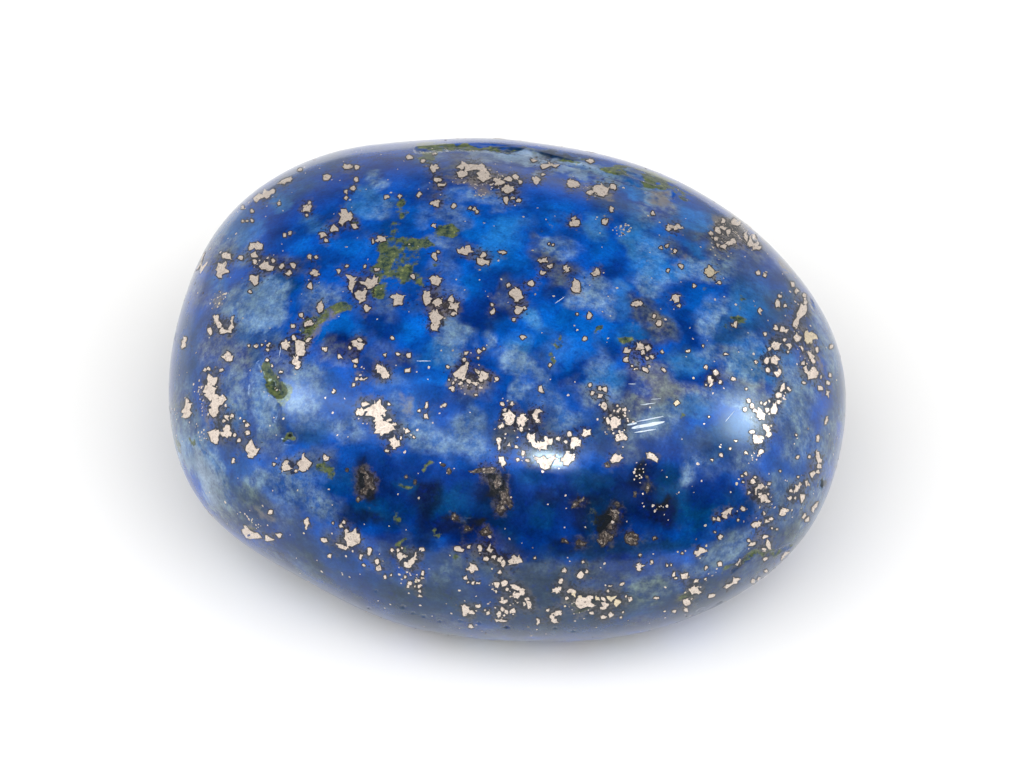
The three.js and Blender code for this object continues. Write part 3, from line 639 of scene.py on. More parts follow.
# %% Small marks with crisp edges
# the name of a map, then its marks, which are written as the strokes are
MARKS = (
    ("green", (448, 145, 1.4, .16, .7, -2), (500, 148, 1.2, .12, .6, -3), (572, 163, .9, .14, .7, -12),
     (610, 172, .7, .15, .7, -18), (650, 181, 1.1, .26, .8, -22), (688, 193, .4, .12, .6, -25),
     (186, 446, .12, .5, .8, 20), (365, 505, .5, .1, .5, -50), (402, 537, .7, .08, .6, -28),
     (400, 205, .3, .5, .9, 10), (395, 228, .3, .7, .5, 10), (446, 229, .85, .35, 1, 18),
     (417, 246, .55, .4, .9), (413, 275, .5, .5, .95), (385, 262, .6, 1, .75),
     (378, 290, .6, .4, .9, 20), (400, 260, 1, 1.2, .5), (424, 150, .35, .4, .9),
     (432, 145, .6, .3, .8), (340, 313, .8, .3, .75, 20), (318, 322, .7, .35, .6, 20),
     (300, 333, .5, .25, .5, 30), (328, 337, .4, .2, .5), (306, 227, .3, .15, .6, 10),
     (363, 221, .35, .15, .7, 35), (552, 226, .35, .12, .6, -5), (546, 236, .2, .12, .4),
     (430, 268, .3, .15, .5), (629, 340, .25, .35, .95), (626, 358, .2, .2, .8),
     (595, 331, .3, .2, .9, 20), (547, 346, .2, .2, .8), (551, 358, .2, .3, .8), (740, 316, .3, .3, .9),
     (740, 300, .2, .25, .5), (706, 292, .2, .25, .6), (685, 421, .2, .15, .8),
     (429, 469, .18, .18, .8), (393, 511, .25, .25, .9), (404, 521, .3, .12, .5, -40),
     (437, 533, .25, .35, .9, 10), (458, 556, .3, .3, .85), (493, 563, .6, .25, .4),
     (329, 466, .3, .3, .8), (406, 486, .45, .1, .7, 15), (192, 446, .12, .55, .8, 25),
     (273, 391, .6, .45, 1, -30), (282, 388, .55, .5, 1), (277, 401, .4, .3, .55),
     (268, 375, .4, .6, .9), (261, 370, .3, .6, .9), (288, 437, .4, .35, 1), (277, 412, .25, .5, .5),
     (655, 182, 1.2, .22, .9, -18), (620, 170, .7, .2, .6, -12), (590, 160, .6, .15, .6, -8),
     (480, 143, 1.5, .15, .7, -2), (662, 238, .25, .2, .6), (590, 272, .3, .25, .5),
     (760, 556, 1.2, .2, .7, 15), (735, 568, .4, .2, .7, 45), (590, 601, 1.4, .3, .6, -8),
     (690, 597, .5, .35, .7, 40), (655, 575, .9, .5, .3), (600, 512, .5, .7, .35),
     (635, 465, .5, .3, .4), (205, 262, .15, .6, .4, -35), (246, 531, .7, .15, .4, -35),
     (793, 545, .4, .15, .6, 20)),
    ("tan", (225, 262, .5, .6, .5), (221, 294, .7, .5, .6), (225, 325, .6, .6, .5),
     (328, 320, .8, .4, .7, 25), (305, 335, .6, .3, .7, 30), (480, 178, 1.8, .5, .7, -12),
     (600, 190, .8, .45, .7, -15), (572, 188, .6, .35, .5, -10), (662, 198, .7, .35, .8, -10),
     (730, 233, 1.1, .8, .9, -35), (755, 248, .7, .4, .7, -40), (710, 272, .4, .4, .6),
     (595, 273, .4, .3, .6), (575, 287, .35, .35, .6), (547, 266, .5, .35, .4), (440, 308, 1, .8, .6),
     (500, 295, .7, .6, .3), (467, 380, 1, .6, .7), (212, 410, .5, 1.6, .5, 10),
     (355, 372, .35, .6, .4), (405, 410, .5, .7, .5), (810, 345, .5, 1.3, .7, 15),
     (768, 375, .5, .6, .3), (757, 415, .6, .8, .3), (758, 490, .6, .6, .6), (500, 485, .6, .9, .5, 30),
     (590, 601, 1.5, .4, .7, -6), (692, 596, .6, .5, .7, 40), (500, 560, .8, .4, .4),
     (250, 533, .9, .25, .6, -30), (270, 512, .8, .3, .6, -30), (787, 266, .35, .25, 1, -40),
     (653, 378, .8, .6, .3), (657, 322, .5, .7, .5, 20), (676, 260, .35, .5, .5),
     (765, 542, .35, .5, .5), (438, 204, .5, .4, .4), (350, 540, .7, .4, .4),
     (640, 330, .9, .35, .35, -50)),
    ("dark", (820.9, 484.5, .12, .28, 1), (365, 482, .4, .9, .8, 10), (500, 490, .5, .9, .7),
     (485, 478, .6, .3, .5), (610, 522, .4, .9, .8, 25), (663, 508, .5, .45, .9),
     (634, 470, .6, .4, .7), (485, 528, .5, .3, .7), (458, 517, .3, .2, .7), (580, 543, .8, .2, .6),
     (222, 318, .2, .2, .7), (273, 386, .35, .3, .6, -30), (289, 437, .25, .2, .8),
     (475, 178, 1.3, .25, .4, -15), (730, 230, .7, .4, .5, -35), (590, 601, 1.2, .25, .7, -6),
     (692, 596, .4, .3, .6, 40), (745, 560, .3, .12, .9, 20), (468, 520, .5, .15, .5),
     (503, 290, .3, .4, .5), (806, 345, .25, 1.1, .5, 15), (504, 626, .2, .08, .9),
     (176, 337, .1, .15, .8), (650, 485, .5, .3, .4), (592, 277, .25, .15, .6)),
)
# how large the far side's marks are in mm, how rare they are, and how strong
FAR_MARKS = {"green": (1.5, 0.36, 0.9), "tan": (1.3, 0.34, 0.8), "dark": (0.9, 0.46, 0.9)}
FAR_MARK_EDGE = 0.25

for index, (mark, *patches) in enumerate(MARKS):
    clear = np.ones(len(places))
    for cover in covers(patches, solid=0.2, fade=1.5):
        clear *= 1 - cover
    cloud_size, rarity, strength = FAR_MARKS[mark]
    step = 7 * index
    cloud = two_noises(cloud_size, (61.0 + step, 15.0, 2.0), 0.45, (3.0, 71.0 + step, 9.0))
    far = strength * rising(cloud, rarity, FAR_MARK_EDGE)
    amount = seen * (1 - clear) + (1 - seen) * far
    store(skin, mark, amount)
    print(mark, "covers", round(float(amount.mean()) * 100, 1), "% of the stone")

# %% [markdown]
# ## Where the pyrite lies
# Pyrite grew in the rock as clusters of angular grains, and polish cut them level with the skin. Each
# grain that can be told apart is written down below. Its column and row say where it appears, and its
# length and width in mm say how large it looks from the eye. A turn in degrees follows where the grain
# lies askew. One list holds the grains of one part of the stone.

# %% Grains, one list for each part of the stone
# a part of the stone, then its grains: column, row, the length in mm where it isn't SMALL, the width
# where it isn't the same as the length, and a turn in degrees where there is one
SMALL = 0.15
GRAINS = (
    ("upper left", (264, 195, .9, .3, 25), (285, 181, .55, .2, 20), (300, 170, .25, .1, 20),
     (307, 208, .4), (323, 235, .3, .25), (326, 240, .2), (327, 177, .45, .2, 15), (243, 207),
     (252, 211), (243, 221, .1), (247, 221, .1), (252, 221), (200, 262, .9, .2, 55),
     (227, 256, .45, .35), (221, 270, .65, .6), (256, 247, .55, .4, 20), (254, 256, .3), (255, 262, .2),
     (266, 267, .5, .4), (274, 261, .2), (282, 266, .2), (293, 266, .25), (289, 273, .25),
     (254, 280, .45, .4), (250, 292), (310, 257, .2), (315, 273, .4, .3), (310, 286, .3),
     (241, 258, .2), (218, 322, .2, .7, 10), (226, 331, .55, .2), (232, 323, .2, .6, -10),
     (210, 331, .25, .35), (320, 307, .3, .45), (309, 323, .45, .25, 20), (301, 315, .2),
     (293, 326, .2), (294, 338, .2), (286, 346, .4), (300, 348, .5, .8), (308, 340, .35, .15, 40),
     (184, 342, .2, .55, -15), (228, 357, .45, .4), (325, 349, .2), (249, 346, .1), (256, 346),
     (262, 345, .1), (268, 346, .1), (296, 362, .3, .55), (268, 350), (279, 204), (285, 235),
     (290, 233), (309, 203), (307, 215), (316, 257), (346, 192), (346, 198)),
    ("back left", (347, 167, .45, .2), (357, 167, .2, .25), (356, 180, .2), (353, 189, .25, .2),
     (344, 217, .6), (355, 226, .35, .2, -20), (334, 229, .4, .25), (381, 239, .55, .25, 20),
     (373, 241, .1, .25), (387, 197, .2), (400, 196, .2), (419, 195, .2), (410, 157, .3, .2),
     (423, 161, .2), (434, 154, .2, .1), (434, 168, .4, .35), (438, 180, .35, .2), (441, 185, .4, .2),
     (461, 167, .35, .2), (475, 167, 1.1, .35, -5), (463, 174, .45, .3), (483, 175, .55, .6),
     (498, 182, .45, .35), (437, 203, .45, .4), (454, 206, .2), (434, 226, .2), (470, 208), (474, 209),
     (477, 212)),
    ("back middle", (508, 179, .4, .2), (516, 177, .3, .2), (508, 189, .55, .35), (520, 182, .2),
     (506, 200, .2, .4), (513, 198, .2, .15), (518, 201, .2, .15), (536, 180, .4, .3),
     (534, 160, .35, .15), (550, 165, .9, .2, -8), (543, 175, .2, .1), (572, 185, .6, .35, -15),
     (601, 189, .75, .5, -15), (590, 193, .35, .2), (613, 187, .3, .25, -30), (590, 161, .4, .2, -10),
     (575, 223, .45, .25), (574, 218, .2), (605, 222, .3), (612, 209, .2, .25), (653, 213, .2),
     (668, 228, .25), (549, 244, .1), (553, 245, .1)),
    ("crown left", (352, 283, .5, .85), (370, 283, .75, .5), (361, 296, .45, .6), (367, 309, .3, .35),
     (377, 270, .2), (398, 299, .65, .6), (413, 276, .2), (428, 297, .35, .65), (437, 303, .35),
     (451, 299, .35, .3), (454, 306, .55, .35), (454, 314, .2), (435, 317, .6), (434, 326, .35, .45),
     (466, 251, .75, .4, 10), (484, 262, .55, .25, -20), (483, 255, .3, .2), (435, 257, .2, .35),
     (438, 252, .2, .1), (436, 281, .5, .35), (358, 345, .55, .45), (360, 340, .2), (339, 271, .2),
     (347, 266), (365, 267), (493, 312, .25, .3), (492, 305)),
    ("crown middle", (517, 295, .5, .55), (531, 284, .35, .3), (519, 309, .4, .35), (525, 308),
     (509, 285, .2), (503, 253, .35, .2), (543, 260, .45, .25), (550, 266, .2), (543, 273, .3, .2),
     (566, 269, .35), (596, 272, .4), (576, 286, .45, .55), (589, 316, .2, .3), (577, 314, .1),
     (523, 337, .25, .15), (514, 320), (637, 304, .45, .3), (659, 323, .3, .25), (654, 316),
     (627, 350, .3, .35), (640, 347, .4, .35), (643, 352, .2, .25), (648, 348, .2, .3), (647, 358),
     (652, 357, .2, .15, -40), (662, 352), (661, 248), (667, 246), (668, 271)),
    ("back right", (676, 227, .65, .25, -10), (718, 231, .2, .4, 20), (724, 228, .4, .2, -5),
     (728, 232, .2, .25, -20), (736, 222, .4, .3), (723, 221, .2), (746, 236, .2, .4),
     (732, 243, .45, .25), (753, 243, .5, .45), (759, 248, .2), (711, 234, .2), (716, 239, .2),
     (718, 245, .2, .15), (724, 247, .25, .2), (711, 272, .55, .5), (719, 283), (694, 286),
     (681, 266, .25, .2), (675, 251), (758, 273, .2), (765, 275), (675, 299, .35, .4), (679, 306),
     (760, 311, .2, .25), (735, 325, .2, .35), (732, 325, .1), (777, 304, .2, .4), (785, 306),
     (780, 296), (793, 284, .2), (797, 291, .2), (804, 295, .2), (805, 302, .2, .4),
     (802, 310, .25, .6), (797, 321, .3, .8, -15), (784, 330, .4, .3), (776, 328, .2), (765, 334),
     (776, 345, .55, .35, 25), (769, 349), (784, 340), (789, 346, .2, .3), (788, 352, .1),
     (809, 338, .55, .65), (797, 338, .3, .35, 20), (802, 349, .3, .1, -69), (811, 357, .65, .15, -66),
     (817, 350, .15, .25), (831, 347, .15, .2)),
    ("left end", (211, 381, .45, .55), (209, 391, .55), (216, 400, .7, .55), (214, 409, .4, .55),
     (227, 417, .25, .35), (224, 421), (214, 436, .35, .65), (218, 432, .2), (226, 432, .35, .55),
     (187, 410, .35, .7, -10), (187, 401, .2), (205, 370), (209, 369), (222, 370, .2), (247, 425, .2),
     (248, 433, .2), (244, 421, .1), (235, 435), (239, 441, .15, .2), (232, 416), (252, 450, .55, .7),
     (234, 461, .15, .25), (286, 466, .45, .5), (304, 463, .55, .7), (296, 471), (274, 464),
     (326, 458, .2, .35), (269, 344, .1), (278, 377, .1), (267, 360), (272, 366, .1, .15),
     (281, 372, .15, .1)),
    ("low left", (307, 523, .2, .5), (252, 533, .9, .25, -30), (269, 538, .45, .2, -20),
     (279, 535, .35, .15, -20), (271, 512, .2), (324, 540, .3, .2), (353, 537, .7, .65),
     (342, 546, .6, .2, -25), (346, 531, .2, .15, 15), (329, 556, .2), (341, 526, .2, .15), (344, 522),
     (333, 523, .1)),
    ("left shoulder", (340, 357, .25, .2), (350, 348), (356, 361, .2), (355, 366), (357, 379),
     (361, 379), (365, 379, .3, .1, 15), (354, 385, .2, .15, 30), (334, 391, .2), (381, 371, .5, .55),
     (386, 375, .35), (378, 366, .2), (385, 355), (398, 354, .2, .15), (409, 355, .2), (408, 371, .2),
     (392, 338), (448, 367), (466, 353, .2), (464, 360, .15, .2), (467, 364, .15, .2), (479, 351, .2),
     (484, 349, .1), (478, 358, .1), (461, 373, .55, .6), (461, 383, .2), (453, 389, .15, .2),
     (450, 388, .1), (453, 383, .1, .15), (449, 380, .1), (469, 381, .2), (475, 384, .3, .1, -30),
     (482, 377, .45, .4), (477, 371, .3, .1, -45), (487, 377, .2), (476, 395), (497, 379, .2),
     (360, 412, .45, .35), (365, 404, .4, .25), (374, 410, .8, .6), (379, 404, .2, .4), (378, 420, .45),
     (383, 428, .95, .45), (391, 429, .35, .2), (394, 443, .55), (395, 424, .2, .15),
     (384, 415, .15, .2), (389, 420, .25, .1, 15), (389, 404), (407, 431, .2), (401, 438),
     (387, 451, .2, .1), (414, 437, .1), (427, 405, .2, .3), (426, 416, .2), (419, 411),
     (444, 405, .2, .15), (499, 443, .2, .5), (500, 427)),
    ("right shoulder", (550, 365), (585, 339, .2, .15), (626, 360, .2), (636, 369, .2, .15),
     (646, 370, .35, .15, -30), (664, 370, .25, .15, -30), (632, 366, .1), (541, 390, .2, .4),
     (502, 404, .2, .15, -45), (512, 404, .15, .2), (505, 410), (509, 418, .55, .45),
     (521, 421, .45, .5), (521, 429, .15, .25), (535, 415, .2, .55), (539, 411, .25, .2),
     (538, 421, .2), (502, 426, .2, .15), (531, 438, .4, .45), (541, 445, .8, .45), (548, 441, .4, .35),
     (558, 439, .2), (569, 434, .2), (566, 442), (575, 443, .5, .55), (586, 433, .4, .35),
     (544, 460, 1.2, .45), (567, 458, .65, .55, 20), (590, 385), (592, 393, .2), (600, 389, .15, .2),
     (605, 389, .2, .3, -15), (600, 396, .2), (604, 406, .3, .35), (624, 410, .2), (618, 411),
     (620, 409, .1), (614, 411, .1), (617, 406, .1), (625, 416, .1), (608, 421, .2, .35),
     (615, 422, .45, .5), (621, 437, .5, .4), (628, 421, .1), (633, 422, .1), (509, 445, .2),
     (516, 447), (523, 453, .2), (527, 460, .2), (518, 460), (502, 461, .3, .45)),
    ("right end", (756, 362), (767, 361, .3), (774, 360, .35), (803, 363, .15, .2), (768, 370, .25, .2),
     (778, 373, .25, .35), (812, 373, .45, .55), (806, 370, .2, .35, 20), (804, 383),
     (820, 388, .25, .2), (828, 394, .2, .3), (828, 383, .15, .2), (830, 375, .1, .2),
     (821, 377, .1, .15), (716, 373, .25, .2, -30), (706, 367, .15, .2), (711, 382, .25, .45),
     (720, 382, .15, .2), (706, 385, .1), (733, 379, .2, .15, -45), (726, 354, .2, .1),
     (688, 351, .2, .1), (703, 346, .1), (782, 388, .2, .4), (789, 389, .25, .15, -45), (779, 395, .25),
     (746, 389, .1), (774, 408, .3, .45), (778, 402, .15, .2), (748, 401, .2), (752, 406, .25, .2, -45),
     (761, 403, .1), (765, 404), (745, 409, .15, .2), (760, 415, .4, .55), (755, 411, .25, .2, -40),
     (767, 410, .2, .2, 30), (769, 414, .1), (752, 432, .25, .15, -40), (758, 438, .55, .3),
     (768, 431, .3, .55), (765, 426, .25, .2), (771, 426, .1), (759, 443, .1), (761, 452, .25),
     (736, 441, .15, .1), (730, 449, .1), (721, 455), (712, 460, .1), (746, 453), (677, 403, .25),
     (709, 417, .1), (826, 420, .15, .4), (818, 438, .2, .3), (818, 457, .2, .6, 8),
     (819, 466, .15, .25), (798, 457), (809, 457), (796, 435, .1), (780, 471, .1)),
    ("dark band", (362, 469, .2, .25), (365, 475, .25, .6, 20), (369, 485, .35, .55),
     (364, 491, .35, .3), (371, 481, .2, .4, 20), (359, 499, .15, .2), (347, 470, .1),
     (443, 465, .15, .1), (449, 471, .15, .2), (406, 477, .1, .15), (415, 482, .1, .15), (455, 517, .3),
     (486, 531, .45, .35), (468, 529, .3, .2), (484, 471, 1.15, .25, -8), (497, 482, .35, .55),
     (505, 499, .4, .9), (500, 509, .35, .3), (617, 459, .6, .35, 20), (607, 465, .2),
     (652, 457, .55, .2, -25), (648, 488, .2, .35), (647, 477, .1), (635, 494, .15, .2),
     (579, 502, .65, .2, 35), (617, 504, .2), (614, 515, .5, .6), (610, 526, .2, .35),
     (605, 538, .6, .55), (632, 538, .5), (565, 541, .3, .15, -20), (581, 543, .4, .25),
     (655, 538, .2, .15)),
    ("front left, low", (459, 549, .35, .25), (469, 547), (480, 548, .2, .35), (490, 549, .3, .35),
     (369, 551, .2, .35, -30), (398, 550, .15, .2), (402, 557, .5, .35), (392, 550), (402, 548, .1),
     (408, 564, .4, .3), (412, 561, .2, .35, -20), (415, 556, .4, .15, 65), (422, 549, .2),
     (416, 559, .15, .1), (377, 561, .2), (379, 568, .25, .35), (361, 557, .15, .25), (364, 565),
     (385, 577), (391, 575, .1), (423, 573, .15, .2), (422, 578, .1), (419, 580), (416, 580, .1),
     (410, 583, .2, .15), (408, 586, .2, .15), (415, 586, .1), (419, 586), (405, 577, .1), (420, 591),
     (420, 596, .2, .1)),
    ("front middle, low", (486, 559, .25), (494, 557, .2, .15), (500, 559, .25, .2, -60),
     (503, 563, .2, .35), (515, 561, .65, .4), (472, 568, .4), (466, 578, .15, .2), (473, 583),
     (478, 583, .2, .1), (468, 582, .1), (500, 572), (497, 584, .25), (504, 583, .3, .25), (507, 589),
     (515, 588, .45, .2, -20), (522, 592, .4, .35), (517, 595, .45, .25, 20), (503, 601, .3),
     (496, 591, .1), (466, 608, .35), (472, 613, .3, .2), (465, 614, .2, .1), (478, 606, .25, .15),
     (488, 613), (485, 610, .1), (499, 614, .2, .35), (502, 609, .2, .2, -45), (506, 612, .2, .15),
     (513, 611, .3, .2), (528, 604, .2, .4, 25), (524, 604), (499, 620, .3, .1), (503, 621, .4, .1),
     (471, 626, .25, .15, -20)),
    ("front right, low", (535, 558, .1), (564, 570, .2), (561, 581, .2, .25, -40), (581, 575, .3, .35),
     (587, 571), (583, 562), (557, 590, .4, .35), (571, 591, .4, .2), (567, 598, .2, .15),
     (574, 594, .25, .2), (580, 597, .2, .15), (586, 602, .8, .45, -8), (590, 597, .3, .2),
     (597, 598, .25, .2), (603, 598, .3, .2), (605, 605, .35, .2, -20), (603, 608, .3, .15),
     (612, 598, .4, .25), (617, 602, .35, .25, -15), (630, 599, .2, .2, 30), (626, 596, .1),
     (610, 586, .2, .1), (622, 584, .2, .15, 40), (608, 591, .1), (656, 598, .25, .1),
     (530, 605, .2, .4, 25), (527, 599, .2, .15), (548, 610, .15, .1), (557, 613, .5, .2),
     (552, 617, .2, .25), (555, 621, .3, .2, -20), (538, 620), (538, 623), (592, 613, .2, .15),
     (604, 617, .3, .2, 15), (611, 615, .3, .2, 15), (623, 612, .1), (621, 617, .1), (667, 565, .1),
     (671, 565, .1), (639, 567, .35), (640, 555, .15, .1), (652, 562, .1, .2), (682, 553, .1),
     (684, 576, .4, .25, 30), (674, 574, .15, .2), (676, 578, .15, .1), (674, 611, .2, .15, 40),
     (686, 610, .2, .2, 40), (692, 590, .45, .25, 25), (687, 602, .4, .25, 25), (698, 592, .25, .2),
     (712, 596, .3, .2, 30), (696, 581, .2)),
    ("right, low", (746, 474), (742, 476, .1), (743, 482, .1), (753, 481, .25, .2, -50), (755, 477, .1),
     (760, 486, .45, .25, 20), (769, 484), (756, 491, .1, .45), (760, 494, .2, .15), (763, 499, .3, .4),
     (768, 501, .25, .2), (759, 497, .1), (768, 494, .1), (749, 493), (797, 488, .55, .2, 61),
     (807, 483, .2, .3), (813, 475, .35, .2, 50), (818, 472), (791, 491), (790, 498, .25, .2, 50),
     (802, 498, .2, .4), (795, 498, .1), (798, 477, .1), (815, 506, .55, .1, 60),
     (804, 516, .3, .15, 60), (807, 520, .3, .15, 60), (784, 512, .4), (743, 509, .2, .2, -30),
     (738, 520, .1), (727, 513, .6, .25, 35), (718, 519, .2), (714, 519), (757, 524, .5, .25, 20),
     (767, 521, .2, .15, 30), (771, 519, .2, .1), (764, 513, .1, .15), (772, 528, .1), (777, 529, .1),
     (765, 537, .35, .2, 20), (768, 545, .2, .45, 10), (764, 550, .2), (752, 544, .35, .15, 30),
     (749, 541), (720, 537, .25, .15, 60), (700, 551, .55, .3, 40), (739, 563, .4, .2, 40),
     (765, 559, .2), (706, 568), (720, 564, .2), (715, 532, .1), (705, 579, .1),
     (733, 583, .65, .2, 35), (727, 586, .25, .2, 30), (759, 579, .15, .2), (753, 581, .2), (766, 571),
     (785, 556, .55, .15, 30), (775, 569, .25, .15, 35)),
)


def whole(column, row, length=SMALL, width=None, turn=0):
    """All five values of a grain: small, round and not turned, unless its list says otherwise."""
    return column, row, length, length if width is None else width, turn


grains = {part: [whole(*grain) for grain in cluster] for part, *cluster in GRAINS}
print(sum(len(cluster) for cluster in grains.values()), "grains in", len(grains), "lists")

# %% [markdown]
# ## Specks
# Between the grains lie thousands of specks, far too small to write down one by one. A swarm says only
# where they crowd, and how thickly. Dots in the material would be lighter, but a real speck catches
# the light by itself, so a tree strews them as small chips further down.

# %% Swarms of specks too small to write down one by one
# column, row, half length and half width in mm, and how many specks lie on a square mm
SWARMS = (
    (221, 294, .55, .35, 20), (628, 231, .3, .3, 30), (198, 426, .25, .5, 25), (257, 522, .25, .25, 25),
    (359, 559, .2, .2, 30), (362, 372, .25, .4, 25), (444, 405, .2, .2, 30), (467, 382, .55, .25, 20),
    (634, 470, .4, .25, 25), (663, 510, .35, .3, 30), (525, 456, .3, .25, 20), (552, 462, .65, .25, 12),
    (755, 399, .25, .15, 25), (752, 462, .4, .25, 25), (720, 564, .15, .15, 30),
    (681, 549, .15, .15, 30), (372, 552, .25, .2, 20), (417, 583, .3, .3, 20), (590, 600, 1.1, .25, 12),
    (769, 520, .25, .12, 25), (730, 238, .9, .5, 8), (480, 180, 1.3, .5, 8), (780, 394, .3, .25, 20),
    (205, 395, .45, .9, 8), (595, 190, .7, .3, 8), (270, 262, .6, .4, 8), (765, 500, .6, .7, 6),
    (800, 345, .5, 1, 5), (510, 420, .8, .5, 6), (610, 420, .6, .6, 8), (410, 570, .8, .7, 6),
    (500, 600, 1.2, .6, 6), (700, 575, .9, .6, 5),
)
print(len(SWARMS), "swarms")

# %% [markdown]
# ## Brown ground round the clusters
# The rock between the grains of a cluster is a fine mixture of pyrite and rock, and it looks grey
# brown from a little way off. A map of how crowded the grains are lets the material stain the rock
# there, so the stain always follows the grains. Two more maps hold how thickly the specks and the far
# side's grains are strewn.

# %% Map of the ground that the grains stain
HAZE_REACH = 0.26  # how far a grain's stain goes past its edge, in mm
HAZE_STRENGTH = 0.62
FULL_STAIN = 0.35  # the size in mm from which a grain stains fully

clear = np.ones(len(places))
for cluster in grains.values():
    for column, row, length, width, _ in cluster:
        right, up = sheet_place(column, row)
        radius = HAZE_REACH + (length + width) / 4
        gap = np.hypot(true_right - right, true_up - up) / radius
        clear *= 1 - HAZE_STRENGTH * min(1, (length * width) ** 0.5 / FULL_STAIN) * np.exp(-gap * gap)

FAR_CLUSTERS, FAR_CLUSTERS_FINER = 2.4, 1.1  # how large the far side's clusters are, in mm
FAR_HAZE = 0.75
clusters = noise_values(places, FAR_CLUSTERS, (5.0, 23.0, 7.0))
clusters += 0.5 * noise_values(places, FAR_CLUSTERS_FINER, (9.0, 3.0, 29.0))
haze = np.maximum((1 - clear) * seen, FAR_HAZE * rising(clusters, 0.05, 0.6) * (1 - seen))
store(skin, "haze", haze)
print("haze covers", round(float((haze > 0.4).mean()) * 100), "% of the stone")

# %% Maps of how thickly specks and far grains are strewn
SPECKS_EVERYWHERE = 0.6  # to a square mm of the side that the eye sees
SWARM_GAIN = 1.5  # how much thicker the swarms are strewn, as chance leaves some specks out
FAR_GRAINS = 1.15  # to a square mm where the far side's clusters are thick
FAR_GAIN = 2.2  # how much thicker it is strewn, as most of its grains come out tiny
THINNEST, CLUMPING = 0.05, 1.6  # the least share of that, and how much the grains keep together
TO_SQUARE_METRE = 1e6  # the trees count in metres

swarm = np.full(len(places), SPECKS_EVERYWHERE)
for *place_and_size, crowd in SWARMS:
    swarm = np.maximum(swarm, SWARM_GAIN * crowd * stroke_cover(*place_and_size, solid=0.6))
above_flat = rising(places[:, 2] / MM, 0.5, 0.4)
store(skin, "swarm", swarm * seen * above_flat * TO_SQUARE_METRE)

crowding = np.maximum(rising(clusters, -0.22, 0.6), THINNEST) ** CLUMPING
unseen = 1 - rising(facing, -0.05, 0.14)
store(skin, "far_grains", FAR_GRAINS * FAR_GAIN * crowding * unseen * above_flat * TO_SQUARE_METRE)
print("specks crowd up to", round(float(swarm.max())), "to a square mm")


# %% [markdown]
# ## Short ways to build nodes
# A material is a tree of nodes, and building one in a script takes a line for each node and each link.
# A few helpers keep that short: one adds a node and fills its inputs, and the rest wrap the nodes that
# come up again and again. Clicking the same trees together by hand works just as well.

# %% Helpers for building nodes


def add_node(tree, kind, inputs=None, **settings):
    """Adds a node, sets its options, and fills or links its inputs by name or number."""
    made = tree.nodes.new(kind)
    for name, value in settings.items():
        setattr(made, name, value)
    for socket, value in (inputs or {}).items():
        if isinstance(value, bpy.types.NodeSocket):
            tree.links.new(value, made.inputs[socket])
        elif value is not None:
            made.inputs[socket].default_value = value
    return made


def output_of(tree, kind, inputs=None, output=0, **settings):
    """Adds a node in the same way, and hands back one of its outputs."""
    return add_node(tree, kind, inputs, **settings).outputs[output]


def maths(tree, operation, first, second=None, third=None):
    """One Math node."""
    values = {0: first, 1: second, 2: third}
    return output_of(tree, "ShaderNodeMath", values, operation=operation)


def times(tree, first, second):
    """One value times another."""
    return maths(tree, "MULTIPLY", first, second)


def vector_maths(tree, operation, first, second=None, third=None, scale=None):
    """One Vector Math node."""
    values = {0: first, 1: second, 2: third, "Scale": scale}
    output = "Value" if operation == "DOT_PRODUCT" else "Vector"
    return output_of(tree, "ShaderNodeVectorMath", values, output, operation=operation)


def ramp(tree, value, low, high, to_low=0.0, to_high=1.0):
    """A smooth step from one value to another."""
    return output_of(
        tree, "ShaderNodeMapRange",
        {0: value, 1: low, 2: high, 3: to_low, 4: to_high}, interpolation_type="SMOOTHSTEP",
    )


def between(tree, share, at_none, at_all):
    """A value that goes evenly from one, where the share is 0, to another, where it is 1."""
    return output_of(tree, "ShaderNodeMapRange", {0: share, 3: at_none, 4: at_all})


def mix_colours(tree, amount, base, top, blend="MIX"):
    """Mixes two colours by an amount from 0 to 1."""
    return output_of(
        tree, "ShaderNodeMix", {0: amount, 6: base, 7: top}, 2, data_type="RGBA", blend_type=blend)


def shaded(tree, base, amount):
    """A colour made darker or lighter by an amount that varies."""
    grey = output_of(tree, "ShaderNodeCombineColor", {0: amount, 1: amount, 2: amount})
    return mix_colours(tree, 1.0, base, grey, blend="MULTIPLY")


def grain_noise(tree, vector, size, detail=4.0, roughness=0.6):
    """Noise with features about size mm across, between 0 and 1."""
    return output_of(tree, "ShaderNodeTexNoise", {
        "Vector": vector, "Scale": 1 / (size * MM), "Detail": detail, "Roughness": roughness,
    })


def stored(tree, name, output="Fac"):
    """Reads a map that is stored on the vertices."""
    return output_of(tree, "ShaderNodeAttribute", None, output, attribute_name=name)


def colour(red, green, blue):
    """A colour with full cover."""
    return (red, green, blue, 1.0)


def new_material(name):
    """An empty node material, with its tree and each point's own place on the object."""
    material = bpy.data.materials.new(name)
    material.use_nodes = True
    tree = material.node_tree
    tree.nodes.clear()
    return material, tree, output_of(tree, "ShaderNodeTexCoord", output="Object")


def finish_material(tree, inputs):
    """Sends a Principled shader with these inputs to the material's output."""
    shader = add_node(tree, "ShaderNodeBsdfPrincipled", inputs)
    add_node(tree, "ShaderNodeOutputMaterial", {"Surface": shader.outputs[0]})
    print("the material has", len(tree.nodes), "nodes")


# %% [markdown]
# ## The polished rock
# One material reads the painted clouds and roughens them at three scales: wide drifts of light and
# dark, crumbs of paler and deeper blue, and a fine grain like sugar. Then it lays on the stains and
# marks. Polish leaves the rock glossy, with a roughness that wanders a little, and a faint bump for
# the grain that stands out under strong light.

